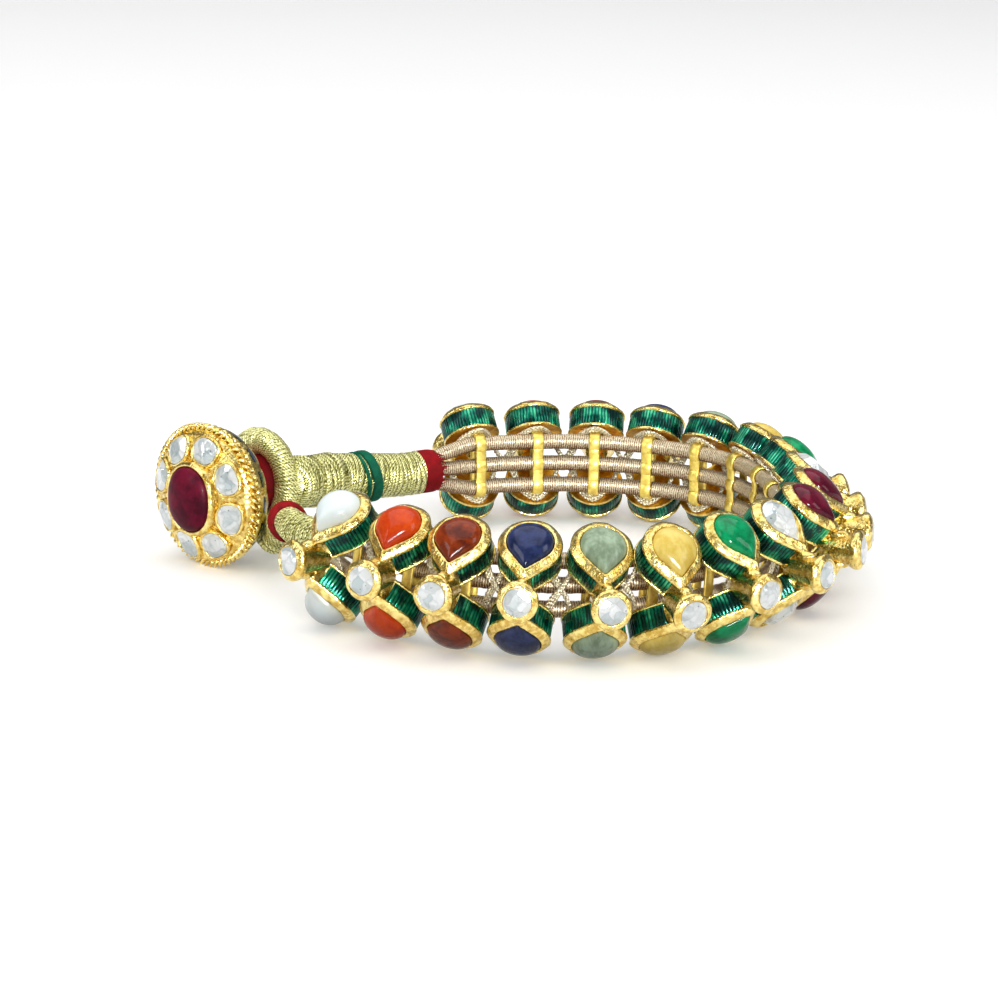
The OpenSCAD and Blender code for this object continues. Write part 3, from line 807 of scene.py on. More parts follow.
def collet(pile, axes, rng):
    """Round collet in front of the boxes' tips."""
    turn = full_turn(COLLET_POINTS)
    rim, neck = [hammer_flats(COLLET_POINTS, *marks, rng) for marks in COLLET_MARKS]
    rings = []
    # The collet is round about the station's X, so its points are turned from Z to X
    for out, radius, share in COLLET_PROFILE:
        push = (rim if out > COLLET_RIM_FROM else neck) * share
        r = radius + push
        rings.append(np.roll(round_points(r, turn, out + 0.4 * push), 1, axis=1))
    pile.add(axes.out(np.concatenate(rings)), tube_faces(len(rings), COLLET_POINTS), RIM)


def gold_lump(pile, axes, centre, size, rows=8, cols=12):
    """Rounded lump of metal with its centre and half sizes in the given axes."""
    lat = np.linspace(0.0, math.pi, rows + 1)[1:-1]
    turn = full_turn(cols)
    rings = [round_points(np.sin(angle), turn, np.cos(angle)) for angle in lat]
    ball = np.concatenate(rings + [[[0.0, 0.0, 1.0], [0.0, 0.0, -1.0]]]) * size + centre
    body = list(grid_faces(len(lat), cols)[:, ::-1])
    top, bottom, last = len(ball) - 2, len(ball) - 1, (len(lat) - 1) * cols
    body += [[k, (k + 1) % cols, top] for k in range(cols)]
    body += [[last + (k + 1) % cols, last + k, bottom] for k in range(cols)]
    pile.add(axes.out(ball), body, RIM)


# %% [markdown]
# The bar is a gold strip bent into three shallow arches over the cords on the wrist's side
# and closed behind them. Following the cords' round backs and bridging the valleys between
# them gives the scalloped look. Its section is a flat strip with softened edges.

# %% Bars
BAR_W = 1.4
BAR_WALL = 0.30
BAR_INNER_R = 1.04
BAR_EDGE = 0.12
VALLEY_X = 0.76
STRIP_X = 1.02
# Sway of the strip's edges, and hammer marks on its face: flats along the strip, depth
BAR_MARKS = [(13, 0.05), (17, 0.035)]
# Solder between a station's bar, boxes and collet: distance out, height, half sizes
SOLDER = [(1.75, 2.95, (0.85, 0.42, 0.46)), (8.2, 1.80, (1.50, 0.80, 0.62))]


def bar_path():
    """Closed line of the strip's inner face as X and Z: scalloped towards the wrist, straight behind."""
    z = np.linspace(CORD_PITCH, -CORD_PITCH, 61)
    from_cord = z - CORD_PITCH * np.round(z / CORD_PITCH)
    arch = np.sqrt(np.maximum(BAR_INNER_R ** 2 - from_cord ** 2, 0.0))
    front = np.column_stack([-np.maximum(arch, VALLEY_X), z])
    turn = np.linspace(math.pi, 2.0 * math.pi, 13)[1:-1]
    under = np.column_stack([BAR_INNER_R * np.cos(turn), -CORD_PITCH + BAR_INNER_R * np.sin(turn)])
    behind = np.column_stack([np.full(9, STRIP_X), np.linspace(-CORD_PITCH, CORD_PITCH, 9)])
    over = np.column_stack([-under[:, 0], CORD_PITCH - BAR_INNER_R * np.sin(turn)])
    return np.concatenate([front, under, behind, over])


BAR_PATH = bar_path()


def cord_bar(pile, axes, rng):
    """Bar round the three cords, with solder to both boxes' backs and to the collet."""
    count = len(BAR_PATH)
    run = np.roll(BAR_PATH, -1, 0) - np.roll(BAR_PATH, 1, 0)
    run /= np.linalg.norm(run, axis=1)[:, None]
    outward = np.column_stack([run[:, 1], -run[:, 0]])
    sway, marks = [hammer_flats(count, *row, rng) for row in BAR_MARKS]
    half, soft = BAR_W / 2, BAR_W / 2 - BAR_EDGE
    section = [(-half, 0.0), (-half, 0.7), (-soft, 1.0), (0.0, 1.0),
               (soft, 1.0), (half, 0.7), (half, 0.0), (0.0, 0.0)]
    rows = []
    for across, up in section:
        x, z = (BAR_PATH + outward * ((BAR_WALL + marks) * up)[:, None]).T
        rows.append(np.column_stack([x, across + sway * (1.0 if across > 0 else 0.6), z]))
    pile.add(axes.out(np.concatenate(rows)), grid_faces(len(section), count, close_rows=True), BAR)
    for side in (-1.0, 1.0):
        for out, height, size in SOLDER:
            gold_lump(pile, axes, (out, 0.0, side * height), size)


def gold_setting(station):
    """All the gold of one station as one piece."""
    rng = np.random.default_rng(100 + station.number)
    pile = Pile()
    for box in (station.upper, station.lower):
        drop_box(pile, box, rng)
    collet(pile, station.axes, rng)
    cord_bar(pile, station.axes, rng)
    return pile.piece(f"gold_setting_{station.number:02d}", [rim_gold, back_gold, bar_gold], "gold",
                      [station.setting_node])


gold_settings = [gold_setting(station) for station in stations]
print("gold settings:", len(gold_settings), "faces each about", len(gold_settings[0].data.polygons))

# %% [markdown]
# ## Enamelled walls
# The enamel is a thin band round each box, between the rim and the back edge. Its ribs run
# from face to back. They are modelled, because they catch the light one by one, and each
# point also stores how near it is to a crest for the finish.

# %% Enamelled walls
RIB_PITCH = 0.43
RIB_HEIGHT = 0.085
SAMPLES_PER_RIB = 6
WALL_R = 3.56
UNDER_ENAMEL_R = 3.46
WALL_LEVELS = [-0.43, -0.53, -1.60, -2.80, -2.88]


def enamel_band(pile, box, rng):
    """Ribbed enamel band round one box."""
    girth = float(np.linalg.norm(DROP - np.roll(DROP, 1, 0), axis=1).sum()) * WALL_R
    ribs = round(girth / RIB_PITCH)
    count = ribs * SAMPLES_PER_RIB
    outline = drop_outline(count)
    phase = np.arange(count) / SAMPLES_PER_RIB % 1.0
    crest = round_ridge(phase)
    strength = np.repeat(rng.uniform(0.55, 1.0, ribs), SAMPLES_PER_RIB)
    rings, marks = [], []
    post = near_tip(outline, POST_REACH)
    for level in WALL_LEVELS:
        edge = 0.0 if level in (WALL_LEVELS[0], WALL_LEVELS[-1]) else 1.0
        swell = crest * strength * RIB_HEIGHT * edge * (1.0 - post) - 0.06 * post
        rings.append(np.column_stack([outline * (WALL_R + swell)[:, None], np.full(count, level)]))
        marks.append(crest * strength)
    for level in (WALL_LEVELS[-1], WALL_LEVELS[0]):
        rings.append(np.column_stack([outline * UNDER_ENAMEL_R, np.full(count, level)]))
        marks.append(crest * 0.0)
    faces = grid_faces(len(rings), count, close_rows=True)
    pile.add(box.out(np.concatenate(rings)), faces, rib=np.concatenate(marks))


def enamel_walls(station):
    """The enamelled walls of both boxes of a station."""
    rng = np.random.default_rng(300 + station.number)
    pile = Pile()
    for box in (station.upper, station.lower):
        enamel_band(pile, box, rng)
    return pile.piece(f"enamel_walls_{station.number:02d}", [green_enamel], "green_enamel")


enamel_pieces = [enamel_walls(station) for station in stations]
print("enamel walls:", len(enamel_pieces), "faces each about", len(enamel_pieces[0].data.polygons))

# %% [markdown]
# ## Cabochons
# A cabochon rises straight from its seat and then rounds over. If every ring were the same
# drop, only smaller, a crease would run from the tip to the top. A polisher's wheel leaves
# none, so the rings turn from the drop's outline to a circle as they rise.

# %% Cabochons
DOME_RINGS = 15
STONE_POINTS = 72
STONE_OUTLINE = drop_outline(STONE_POINTS)
STONE_BASE = -SEAT_DEPTH + 0.02
# Middle of the circle that the rings turn to, in the outline's radii
CIRCLE_MIDDLE = np.array([0.12, 0.0])


def cabochon(pile, box, height, rng):
    """Polished dome on a drop-shaped base."""
    turn = np.arctan2(STONE_OUTLINE[:, 1], STONE_OUTLINE[:, 0] - CIRCLE_MIDDLE[0])
    circle = CIRCLE_MIDDLE + np.column_stack([np.cos(turn), np.sin(turn)])
    lean = rng.uniform(-0.08, 0.08, 2)
    rings = [np.column_stack([STONE_OUTLINE * STONE_R, np.full(STONE_POINTS, level)])
             for level in (STONE_BASE, 0.1, GIRDLE)]
    for k in range(1, DOME_RINGS):
        angle = math.pi / 2.0 * k / DOME_RINGS
        rise, spread = math.sin(angle), math.cos(angle)
        shape = STONE_OUTLINE * (1.0 - rise ** 1.5) + circle * rise ** 1.5
        ring = shape * STONE_R * spread ** 0.92
        rings.append(np.column_stack([ring + lean * rise, np.full(STONE_POINTS, GIRDLE + height * rise)]))
    rows = len(rings)
    points = np.concatenate(rings + [[[*(lean + CIRCLE_MIDDLE), GIRDLE + height]]])
    faces = tube_faces(rows, STONE_POINTS, last=False)
    last = (rows - 1) * STONE_POINTS
    faces += [[last + k, last + (k + 1) % STONE_POINTS, len(points) - 1] for k in range(STONE_POINTS)]
    pile.add(box.out(points), faces)


# Cleavage planes: slopes of the two that make the table, slopes of the facets round it, and
# how far out those cut, as a share of the outline
TABLE_SLOPE = (0.03, 0.09)
FACET_SLOPE = (0.30, 0.62)
FACET_REACH = (0.42, 0.72)


def cleaved_stone(pile, axes, outline, base, girdle, crown, rng, facets):
    """Uncut diamond: a block on its outline, cleaved by planes into a table and broad facets."""
    work = bmesh.new()
    low = [work.verts.new((x, y, base)) for x, y in outline]
    high = [work.verts.new((x, y, girdle + crown)) for x, y in outline]
    work.faces.new(low[::-1])
    work.faces.new(high)
    count = len(outline)
    for k in range(count):
        work.faces.new((low[k], low[(k + 1) % count], high[(k + 1) % count], high[k]))
    cuts = [(rng.uniform(0, 2 * math.pi), rng.uniform(*TABLE_SLOPE), 0.0) for _ in range(2)]
    for k in range(facets):
        direction = (k + rng.uniform(-0.3, 0.3)) / facets * 2 * math.pi
        cuts.append((direction, rng.uniform(*FACET_SLOPE), rng.uniform(*FACET_REACH)))
    for direction, slope, reach in cuts:
        away = np.array([math.cos(direction), math.sin(direction)])
        edge = float(np.max(outline @ away))
        place = (*(away * edge * reach), girdle + crown * rng.uniform(0.90, 1.0))
        normal = unit((*(away * slope * crown / 0.5), 1.0))
        whole = work.verts[:] + work.edges[:] + work.faces[:]
        cut = bmesh.ops.bisect_plane(
            work, geom=whole, plane_co=place, plane_no=normal, clear_outer=True, dist=1e-5)
        rim = [item for item in cut["geom_cut"] if isinstance(item, bmesh.types.BMEdge)]
        if len(rim) > 2:
            bmesh.ops.holes_fill(work, edges=rim)
    bmesh.ops.recalc_face_normals(work, faces=work.faces)
    work.verts.index_update()
    points = [v.co[:] for v in work.verts]
    faces = [[v.index for v in face.verts] for face in work.faces]
    work.free()
    pile.add(axes.out(points), faces, smooth=False)


def station_stones(station):
    """Both stones of one station, in place of the frame's pair."""
    rng = np.random.default_rng(500 + station.number)
    pile = Pile()
    for box in (station.upper, station.lower):
        if station.gem == "diamond":
            outline = drop_outline(28) * STONE_R
            cleaved_stone(pile, box, outline, STONE_BASE, GIRDLE, 0.9, rng, 12)
        else:
            cabochon(pile, box, station.stone_height, rng)
    finish = diamond_finish if station.gem == "diamond" else cabochon_finishes[station.gem]
    return pile.piece(f"stones_{station.gem}_{station.number:02d}", [finish], station.gem, [station.gem_node])


stone_pieces = [station_stones(station) for station in stations]
print("stone pairs:", ", ".join(piece.name for piece in stone_pieces[:9]))


def collet_diamonds():
    """The round uncut diamond of every collet."""
    rng = np.random.default_rng(700)
    pile = Pile()
    for station in stations:
        axes = station.axes
        seat = Axes(axes.origin + axes.x * (COLLET_OUT - 0.45), axes.z, axes.x)
        turn = full_turn(22)
        wobble = 1.0 + hammer_flats(22, 6, 0.03, rng)
        outline = np.column_stack([np.cos(turn), np.sin(turn)]) * (COLLET_STONE_R * 1.01 * wobble)[:, None]
        cleaved_stone(pile, seat, outline, 0.02, 0.42, 0.42, rng, 9)
    return pile.piece("collet_diamonds", [diamond_finish], "diamond", ["collet_stones"])


collet_stone_piece = collet_diamonds()
print("collet diamonds:", len(collet_stone_piece.data.polygons), "facets")

# %% [markdown]
# ## Wound cords
# The three cords run through all the stations and are gathered at both ends. Their middle
# lines are in the frame, as tubes made of rings. Walking over a tube's mesh from one flat
# end gives its rings in order, and the middle of each ring is a point of the line.

# %% Middle lines of the frame's tubes


def tube_route(name, start_near):
    """Middle points and radii of a swept tube's rings, from the end nearest to start_near."""
    points, triangles = node_points(name)
    triangles, normal, _ = sound_triangles(points, triangles)
    offset = np.einsum("ij,ij->i", normal, points[triangles[:, 0]])
    keys = np.round(np.column_stack([normal * 50.0, offset * 20.0])).astype(int)
    caps = []
    for key in np.unique(keys, axis=0):
        used = np.unique(triangles[(keys == key).all(1)])
        # A flat end has a whole ring of corners, and the flat parts of the side only a few
        if len(used) > 6:
            caps.append(used)
    first = min(caps, key=lambda cap: np.linalg.norm(points[cap].mean(0) - start_near))
    neighbours = {}
    for a, b, c in triangles:
        for p, q in ((a, b), (b, c), (c, a)):
            neighbours.setdefault(int(p), set()).add(int(q))
            neighbours.setdefault(int(q), set()).add(int(p))
    ring, seen, route = set(int(k) for k in first), set(), []
    while ring:
        middle = points[list(ring)].mean(0)
        route.append([*middle, np.linalg.norm(points[list(ring)] - middle, axis=1).mean()])
        seen |= ring
        ring = {n for k in ring for n in neighbours[k]} - seen
    return np.array(route)


def smooth_route(route, step):
    """Smooth line through points with radii, sampled at even steps. Returns points, radii and lengths."""
    route = np.asarray(route, float)
    ends = np.vstack([2 * route[0] - route[1], route, 2 * route[-1] - route[-2]])
    fine = []
    for k in range(1, len(ends) - 2):
        p0, p1, p2, p3 = ends[k - 1:k + 3]
        t = np.linspace(0.0, 1.0, 24, endpoint=False)[:, None]
        fine.append(0.5 * (2 * p1 + (p2 - p0) * t + (2 * p0 - 5 * p1 + 4 * p2 - p3) * t ** 2
                           + (3 * p1 - p0 - 3 * p2 + p3) * t ** 3))
    fine = np.concatenate(fine + [ends[-2:-1]])
    run = np.concatenate([[0.0], np.cumsum(np.linalg.norm(np.diff(fine[:, :3], axis=0), axis=1))])
    rows = max(int(run[-1] / step), 2) + 1
    along = np.linspace(0.0, run[-1], rows)
    even = np.column_stack([np.interp(along, run, fine[:, k]) for k in range(4)])
    return even[:, :3], even[:, 3], along


def carried_sides(line, closed=False):
    """Two directions square to a line at each of its points, carried along it without twisting."""
    if closed:
        run = np.roll(line, -1, 0) - np.roll(line, 1, 0)
    else:
        run = np.gradient(line, axis=0)
    run /= np.linalg.norm(run, axis=1)[:, None]
    side = np.cross(run[0], UP)
    if np.linalg.norm(side) < 0.1:
        side = np.cross(run[0], [1.0, 0.0, 0.0])
    sides = []
    for t in run:
        side = unit(side - np.dot(side, t) * t)
        sides.append(side)
    sides = np.array(sides)
    return sides, np.cross(run, sides)


def ring_points(line, radius, sides, ups, angle):
    """Rings of points round a line. The radius is one for all, for each ring or for each point."""
    across = np.cos(angle)[None, :, None] * sides[:, None, :]
    around = across + np.sin(angle)[None, :, None] * ups[:, None, :]
    return line[:, None, :] + np.asarray(radius)[..., None] * around


NEAR_STUB = stations[0].axes.origin
NEAR_NECK = stations[-1].axes.origin
cord_routes = {name: tube_route(name, NEAR_STUB) for name in ("cord_top", "cord_middle", "cord_bottom")}
neck_route = tube_route("neck_wrap", NEAR_NECK)
stub_route = tube_route("stub_wrap", NEAR_STUB)
print("routes:", {name: len(route) for name, route in cord_routes.items()})
print("neck", len(neck_route), "stub", len(stub_route))

# %% [markdown]
# A wound surface is the tube with a rounded ridge for every turn. The turns wander a little,
# as they do when thread is wound by hand: a sum of a few slow waves shifts them to and fro.

# %% Winding
WAVES = 5
# Lowest turn of the neck and the stub, as a share of the highest
LOWEST_TURN = 0.55


def slow_waves(along, around, rng, length_mm, lobes=3):
    """Smooth random pattern on a tube, seamless round it."""
    pattern = np.zeros((len(along), len(around)))
    for _ in range(WAVES):
        swing = rng.integers(-lobes, lobes + 1)
        pace = rng.uniform(0.3, 1.0) / length_mm
        pattern += np.sin(2.0 * math.pi * (pace * along[:, None] + swing * around[None, :] + rng.uniform()))
    return pattern / WAVES


def wound_rings(line, radius, along, cols, turn_mm, ridge, wander, rng):
    """Rings of points of a tube wound with thread: pitch, height of a turn, and how far turns wander."""
    around = np.arange(cols) / cols
    drift = slow_waves(along, around, rng, 2.4) * wander
    turns = (along[:, None] + drift) / turn_mm + around[None, :]
    number = np.floor(turns).astype(int)
    heights = rng.uniform(LOWEST_TURN, 1.0, number.max() - number.min() + 1)
    height = round_ridge(turns % 1.0) * heights[number - number.min()]
    r = radius[:, None] - ridge * 0.7 + ridge * height
    return ring_points(line, r, *carried_sides(line), full_turn(cols)), height


# %% [markdown]
# The cords are finely wound in pinkish champagne thread. One turn is about 0.3 mm, too fine
# to see singly at this distance, so the finish draws the turns. The mesh has the slow
# swelling of a hand-wound cord and small steps from one ring to the next.

# %% The three cords
CORD_COLS = 20
CORD_STEP = 0.26
CORD_SWELL = 0.030
CORD_STEPS = 0.022


def wound_cord(name, seed):
    """One of the three cords, along its middle line."""
    rng = np.random.default_rng(seed)
    line, radius, along = smooth_route(cord_routes[name], CORD_STEP)
    swell = CORD_SWELL * slow_waves(along, np.arange(CORD_COLS) / CORD_COLS, rng, 1.1, 1)
    steps = CORD_STEPS * rng.uniform(-1.0, 1.0, (len(along), 1))
    r = radius[:, None] * 1.04 + (swell + steps)
    pile = Pile()
    pile.tube(ring_points(line, r, *carried_sides(line), full_turn(CORD_COLS)), along)
    return pile.piece("wound_" + name, [champagne_thread], "cord_thread", [name])


cord_pieces = [wound_cord(name, 900 + k) for k, name in enumerate(cord_routes)]
print("cords:", [piece.name for piece in cord_pieces])

# %% [markdown]
# The neck and the stub are the gathered cords overwound with gold thread in broad turns, and
# the loop is a cord wound in narrower ones. Here each turn is a ridge. The stub is thinner
# than the neck, so it has the loop's finish.

# %% Neck, stub and loop
ROWS_PER_TURN = 6


def wound_node(name, route, finish, cols, turn_mm, ridge, wander, seed):
    """Gold thread wound round one of the frame's tubes, with six rings of points for each turn."""
    rng = np.random.default_rng(seed)
    line, radius, along = smooth_route(route, turn_mm / ROWS_PER_TURN)
    pile = Pile()
    rings, crest = wound_rings(line, radius, along, cols, turn_mm, ridge, wander, rng)
    pile.tube(rings, along, crest)
    return pile.piece("wound_" + name, [finish], "gold_thread", [name])


def loop_axes():
    """Axes of the clasp's loop, Z along its hole, with the radius of its middle line and of its cord."""
    points, _ = node_points("clasp_loop")
    low, high = points.min(0), points.max(0)
    centre = (low + high) / 2
    _, _, directions = np.linalg.svd(points - centre, full_matrices=False)
    hole = directions[2]
    cord = float(np.abs((points - centre) @ hole).max())
    flat = points - centre - np.outer((points - centre) @ hole, hole)
    reach = float(np.linalg.norm(flat, axis=1).max())
    return Axes(centre, UP, hole), reach - cord, cord


loop, LOOP_R, LOOP_CORD_R = loop_axes()
print("loop: middle radius", round(LOOP_R, 2), "cord radius", round(LOOP_CORD_R, 2))
FULL_NECK_R = 3.3
NECK_END_LIFT = 0.40


def neck_to_loop():
    """The neck's line, kept full to its end and led on into the side of the loop."""
    full = neck_route.copy()
    full[-4:, 3] = np.maximum(full[-4:, 3], FULL_NECK_R)
    full[-2:, 2] += NECK_END_LIFT
    end = full[-1, :3]
    away = end - loop.origin
    side = loop.origin + unit(away - np.dot(away, loop.z) * loop.z) * LOOP_R
    more = [[*(end + (side - end) * share), FULL_NECK_R * full_share]
            for share, full_share in ((0.45, 0.96), (0.80, 0.80), (1.10, 0.45))]
    return np.vstack([full, more])


def seam_turn(sides, ups):
    """Angle by which directions carried once round a closed line have turned."""
    return math.atan2(float(np.dot(sides[0], ups[-1])), float(np.dot(sides[0], sides[-1])))


def close_seam(faces, rows, cols, shift):
    """Faces of a closed tube whose last row meets its first turned by some columns."""
    seam = (faces // cols == 0) & (np.arange(len(faces))[:, None] >= (rows - 1) * cols)
    turned = (faces % cols + shift) % cols
    return np.where(seam, turned, faces)


LOOP_TURN_MM = 0.38
LOOP_COLS = 48


def wound_loop():
    """The loop of the clasp, a ring wound with a whole number of turns."""
    rng = np.random.default_rng(923)
    whole_turns = int(2.0 * math.pi * LOOP_R / LOOP_TURN_MM)
    rows, cols = whole_turns * ROWS_PER_TURN, LOOP_COLS
    angle = full_turn(rows)
    line = loop.out(round_points(LOOP_R, angle, 0.0))
    along = angle * LOOP_R
    radius = LOOP_CORD_R + 0.05 * np.sin(3.0 * angle + 0.7)
    around = np.arange(cols) / cols
    turns = angle[:, None] / (2.0 * math.pi) * whole_turns + around[None, :]
    turns = turns + 0.5 * np.sin(angle * 9.0)[:, None] * np.sin(2.0 * math.pi * around)[None, :]
    crest = round_ridge(turns % 1.0)
    ragged = rng.uniform(0.6, 1.0, int(turns.max()) - int(turns.min()) + 3)
    r = radius[:, None] - 0.18 + 0.28 * crest * ragged[turns.astype(int) - int(turns.min())]
    sides, ups = carried_sides(line, True)
    shift = round(cols * seam_turn(sides, ups) / (2.0 * math.pi))
    faces = close_seam(grid_faces(rows, cols, close_rows=True), rows, cols, shift)
    winding = grid_winding(rows + 1, cols, np.append(along, along[-1] + along[1]))
    pile = Pile()
    pile.add(ring_points(line, r, sides, ups, full_turn(cols)), faces, winding=winding, rib=crest)
    return pile.piece("wound_clasp_loop", [loop_thread], "gold_thread", ["clasp_loop"])


thread_pieces = [
    wound_node("neck_wrap", neck_to_loop(), neck_thread, 88, 0.56, 0.32, 0.50, 921),
    wound_node("stub_wrap", stub_route, loop_thread, 60, 0.52, 0.28, 0.40, 922),
    wound_loop(),
]
print("wound gold thread:", {piece.name: len(piece.data.polygons) for piece in thread_pieces})

# %% [markdown]
# ## Silk bands and shank
# Bands of silk cover the ends of the winding: crimson at the neck's start and on the stub,
# green with a thin second line on the neck. The button's shank is wound with the same
# crimson silk. The crimson neck band frays: fine fibres lie out along the cords.

# %% Silk bands
NECK_DIRECTION = unit(neck_route[1, :3] - neck_route[0, :3])
RED_BAND_L = 2.5
NECK_FOOT = neck_route[0, :3] - NECK_DIRECTION * RED_BAND_L
GREEN_BANDS = [(10.2, 1.3, 3.36), (11.45, 0.4, 3.30)]
GREEN_SLANT = math.tan(math.radians(8.0))
NECK_RISE = 0.45
# Frayed fibres: how many, radius of the band where they leave it, radius where they end
FIBRES = 64
FIBRE_ROOT_R = 2.62
FIBRE_TIP_R = 2.35


def silk_band(pile, centre, axis, radius, width, bulge, slant, rng, rows=9, cols=72, inner=0.5):
    """Band of wound silk round an axis, slightly bulged, with its plane slanted."""
    across = np.linspace(-0.5, 0.5, rows)
    turn = full_turn(cols)
    tilt = slant * radius * np.cos(turn)
    ragged = hammer_flats(cols, 14, 0.05, rng)
    rings = []
    for a in across:
        z = a * width + tilt + ragged * (1.0 if a > 0 else -0.7) * abs(2.0 * a)
        rings.append(round_points(radius + bulge * (1.0 - (2.0 * a) ** 4), turn, z))
    for a in (0.5, -0.5):
        rings.append(round_points(radius - inner, turn, a * width + tilt))
    faces = grid_faces(len(rings), cols, close_rows=True)
    winding = grid_winding(len(rings) + 1, cols, np.append(across * width, [0.0, 0.0, 0.0]))
    pile.add(Axes(centre, UP, axis).out(np.concatenate(rings)), faces, winding=winding)


def fibre(pile, line, radii):
    """Thin tapering strand along a few points."""
    rings = ring_points(line, np.array(radii)[:, None], *carried_sides(line), full_turn(5))
    pile.tube(rings, np.linspace(0.0, 1.0, len(line)))


def neck_silk():
    """Crimson band at the neck's start, with fibres frayed out along the cords."""
    rng = np.random.default_rng(931)
    pile = Pile()
    centre = NECK_FOOT + NECK_DIRECTION * (RED_BAND_L / 2)
    silk_band(pile, centre, NECK_DIRECTION, 2.68, RED_BAND_L, 0.14, 0.02, rng, 11, 72, 1.2)
    axes = Axes(NECK_FOOT, UP, NECK_DIRECTION)
    for _ in range(FIBRES):
        turn = rng.uniform(0, 2 * math.pi)
        reach, lift, lean = rng.uniform(0.35, 1.25), rng.uniform(-0.15, 0.12), rng.uniform(-0.12, 0.12)
        radii = np.array([FIBRE_ROOT_R, FIBRE_ROOT_R - 0.02, FIBRE_TIP_R + lift])
        stem = round_points(radii, np.array([turn, turn, turn + lean]), np.array([0.45, -0.1, -reach]))
        fibre(pile, axes.out(stem), (0.10, 0.085, 0.02))
    return pile.piece("neck_crimson_silk", [red_silk], "red_silk", ["neck_red_band"])


def green_silk_bands():
    """The broad green band of the neck and the thin line beside it."""
    rng = np.random.default_rng(932)
    pile = Pile()
    for at, width, radius in GREEN_BANDS:
        centre = NECK_FOOT + NECK_DIRECTION * at + UP * NECK_RISE
        silk_band(pile, centre, NECK_DIRECTION, radius - 0.08, width, 0.12, GREEN_SLANT, rng)
    return pile.piece("neck_green_silk", [green_silk], "green_silk", ["neck_green_bands"])


def stub_silk():
    """Crimson band round the stub."""
    rng = np.random.default_rng(933)
    pile = Pile()
    before, at = stub_route[3, :3], stub_route[4, :3]
    run = unit(at - before)
    silk_band(pile, at - run * 0.6, run, 2.30, 1.7, 0.20, 0.22, rng, cols=56)
    return pile.piece("stub_crimson_silk", [red_silk], "red_silk", ["stub_red_band"])


silk_pieces = [neck_silk(), green_silk_bands(), stub_silk()]
print("silk bands:", [piece.name for piece in silk_pieces])

# %% [markdown]
# ## Lacing
# Behind the boxes, strands of twisted gold thread lace the stations together. A strand
# passes over the top of one bar, crosses the middle between two stations, passes under the
# next bar, and so on. Three strands start over the first bar and three under it, so that the
# two sets cross in an X between all the stations. Each strand is two plies twisted round
# each other.

# %% Lacing
# Half the length of a pass along the cords
PASS_HALF = 3.05
# Route of one pass over a bar in the station's axes: along the cords, outward, height
LACING_PASS = [(-PASS_HALF, 1.62, 1.25), (-2.35, 1.30, 3.00), (-1.25, 0.55, 4.12), (0.0, 0.10, 4.52),
               (1.25, 0.55, 4.12), (2.35, 1.30, 3.00), (PASS_HALF, 1.62, 1.25)]
# Shift of each strand of a pass at the bar, outward and upward
STRANDS = [(0.12, -0.08), (-0.18, 0.17), (-0.46, 0.40)]
PLY_R = 0.145
PLY_COLS = 5
PLY_TWIST_MM = 0.95
STRAND_STEP = 0.25


def next_direction(k):
    """Direction from a station to the next one along the cords."""
    a, b = (k, k + 1) if k + 1 < len(stations) else (k - 1, k)
    return stations[b].axes.origin - stations[a].axes.origin


def lacing_line(start_side, shift, depth, beside):
    """Middle line of one strand: over and under the bars in turn."""
    line = []
    for k, station in enumerate(stations):
        side = start_side * (1.0 if k % 2 == 0 else -1.0)
        for y, x, z in LACING_PASS:
            near_top = 1.0 - abs(y) / PASS_HALF
            along = -y if np.dot(station.axes.y, next_direction(k)) < 0 else y
            spread = beside * (1.0 - near_top)
            local = (x + shift[0] * near_top + depth * (1.0 - near_top), along + spread,
                     side * (z + shift[1] * near_top + spread))
            line.append(station.axes.out(local))
    return np.array(line)


def twisted_strand(pile, line, start):
    """Two plies twisted round each other along a line."""
    centre, _, along = smooth_route(np.column_stack([line, np.full(len(line), PLY_R)]), STRAND_STEP)
    sides, ups = carried_sides(centre)
    for half in (0.0, math.pi):
        spin = 2.0 * math.pi * along / PLY_TWIST_MM + half + start
        ply = centre + PLY_R * 0.92 * (np.cos(spin)[:, None] * sides + np.sin(spin)[:, None] * ups)
        pile.tube(ring_points(ply, PLY_R, *carried_sides(ply), full_turn(PLY_COLS)), along)


def lacing(name, start_side, depth):
    """One set of three strands, which starts over the first bar (1.0) or under it (-1.0)."""
    pile = Pile()
    for k, shift in enumerate(STRANDS):
        twisted_strand(pile, lacing_line(start_side, shift, depth, 0.20 * (k - 1)), 1.1 * k)
    return pile.piece(name, [lacing_thread], "lacing")


lacing_pieces = [lacing("lacing_over_first", 1.0, 0.16), lacing("lacing_under_first", -1.0, -0.26)]
print("lacing:", [(piece.name, len(piece.data.polygons)) for piece in lacing_pieces])

# %% [markdown]
# ## The button
# The button is a gold bowl with a domed front: a large oval ruby in a high smooth bezel,
# eight uncut diamonds round it like petals, and an edge of twisted wire over a row of
# grains. The ruby's base in the frame gives the button's axes.

# %% Button axes and profile
RUBY_SEAT = 2.95


def button_axes():
    """Axes of the button: Y up, Z out of its front, origin in the middle of its rim."""
    inward, base = largest_flat(*node_points("button_ruby"))
    front = -inward
    right = np.cross(UP, front)
    return Axes(base.mean(0) - front * RUBY_SEAT, right, front)


button = button_axes()
# Twisted wire of the edge: radius of its ring, height, radius of one wire, twists
EDGE_WIRE = (8.64, 0.98, 0.31, 32)
# Grains below it: how many, radius of one, radius of their ring, height
GRAINS = 58
GRAIN_R = 0.43
GRAIN_RING_R = 8.6
GRAIN_HEIGHT = 0.12
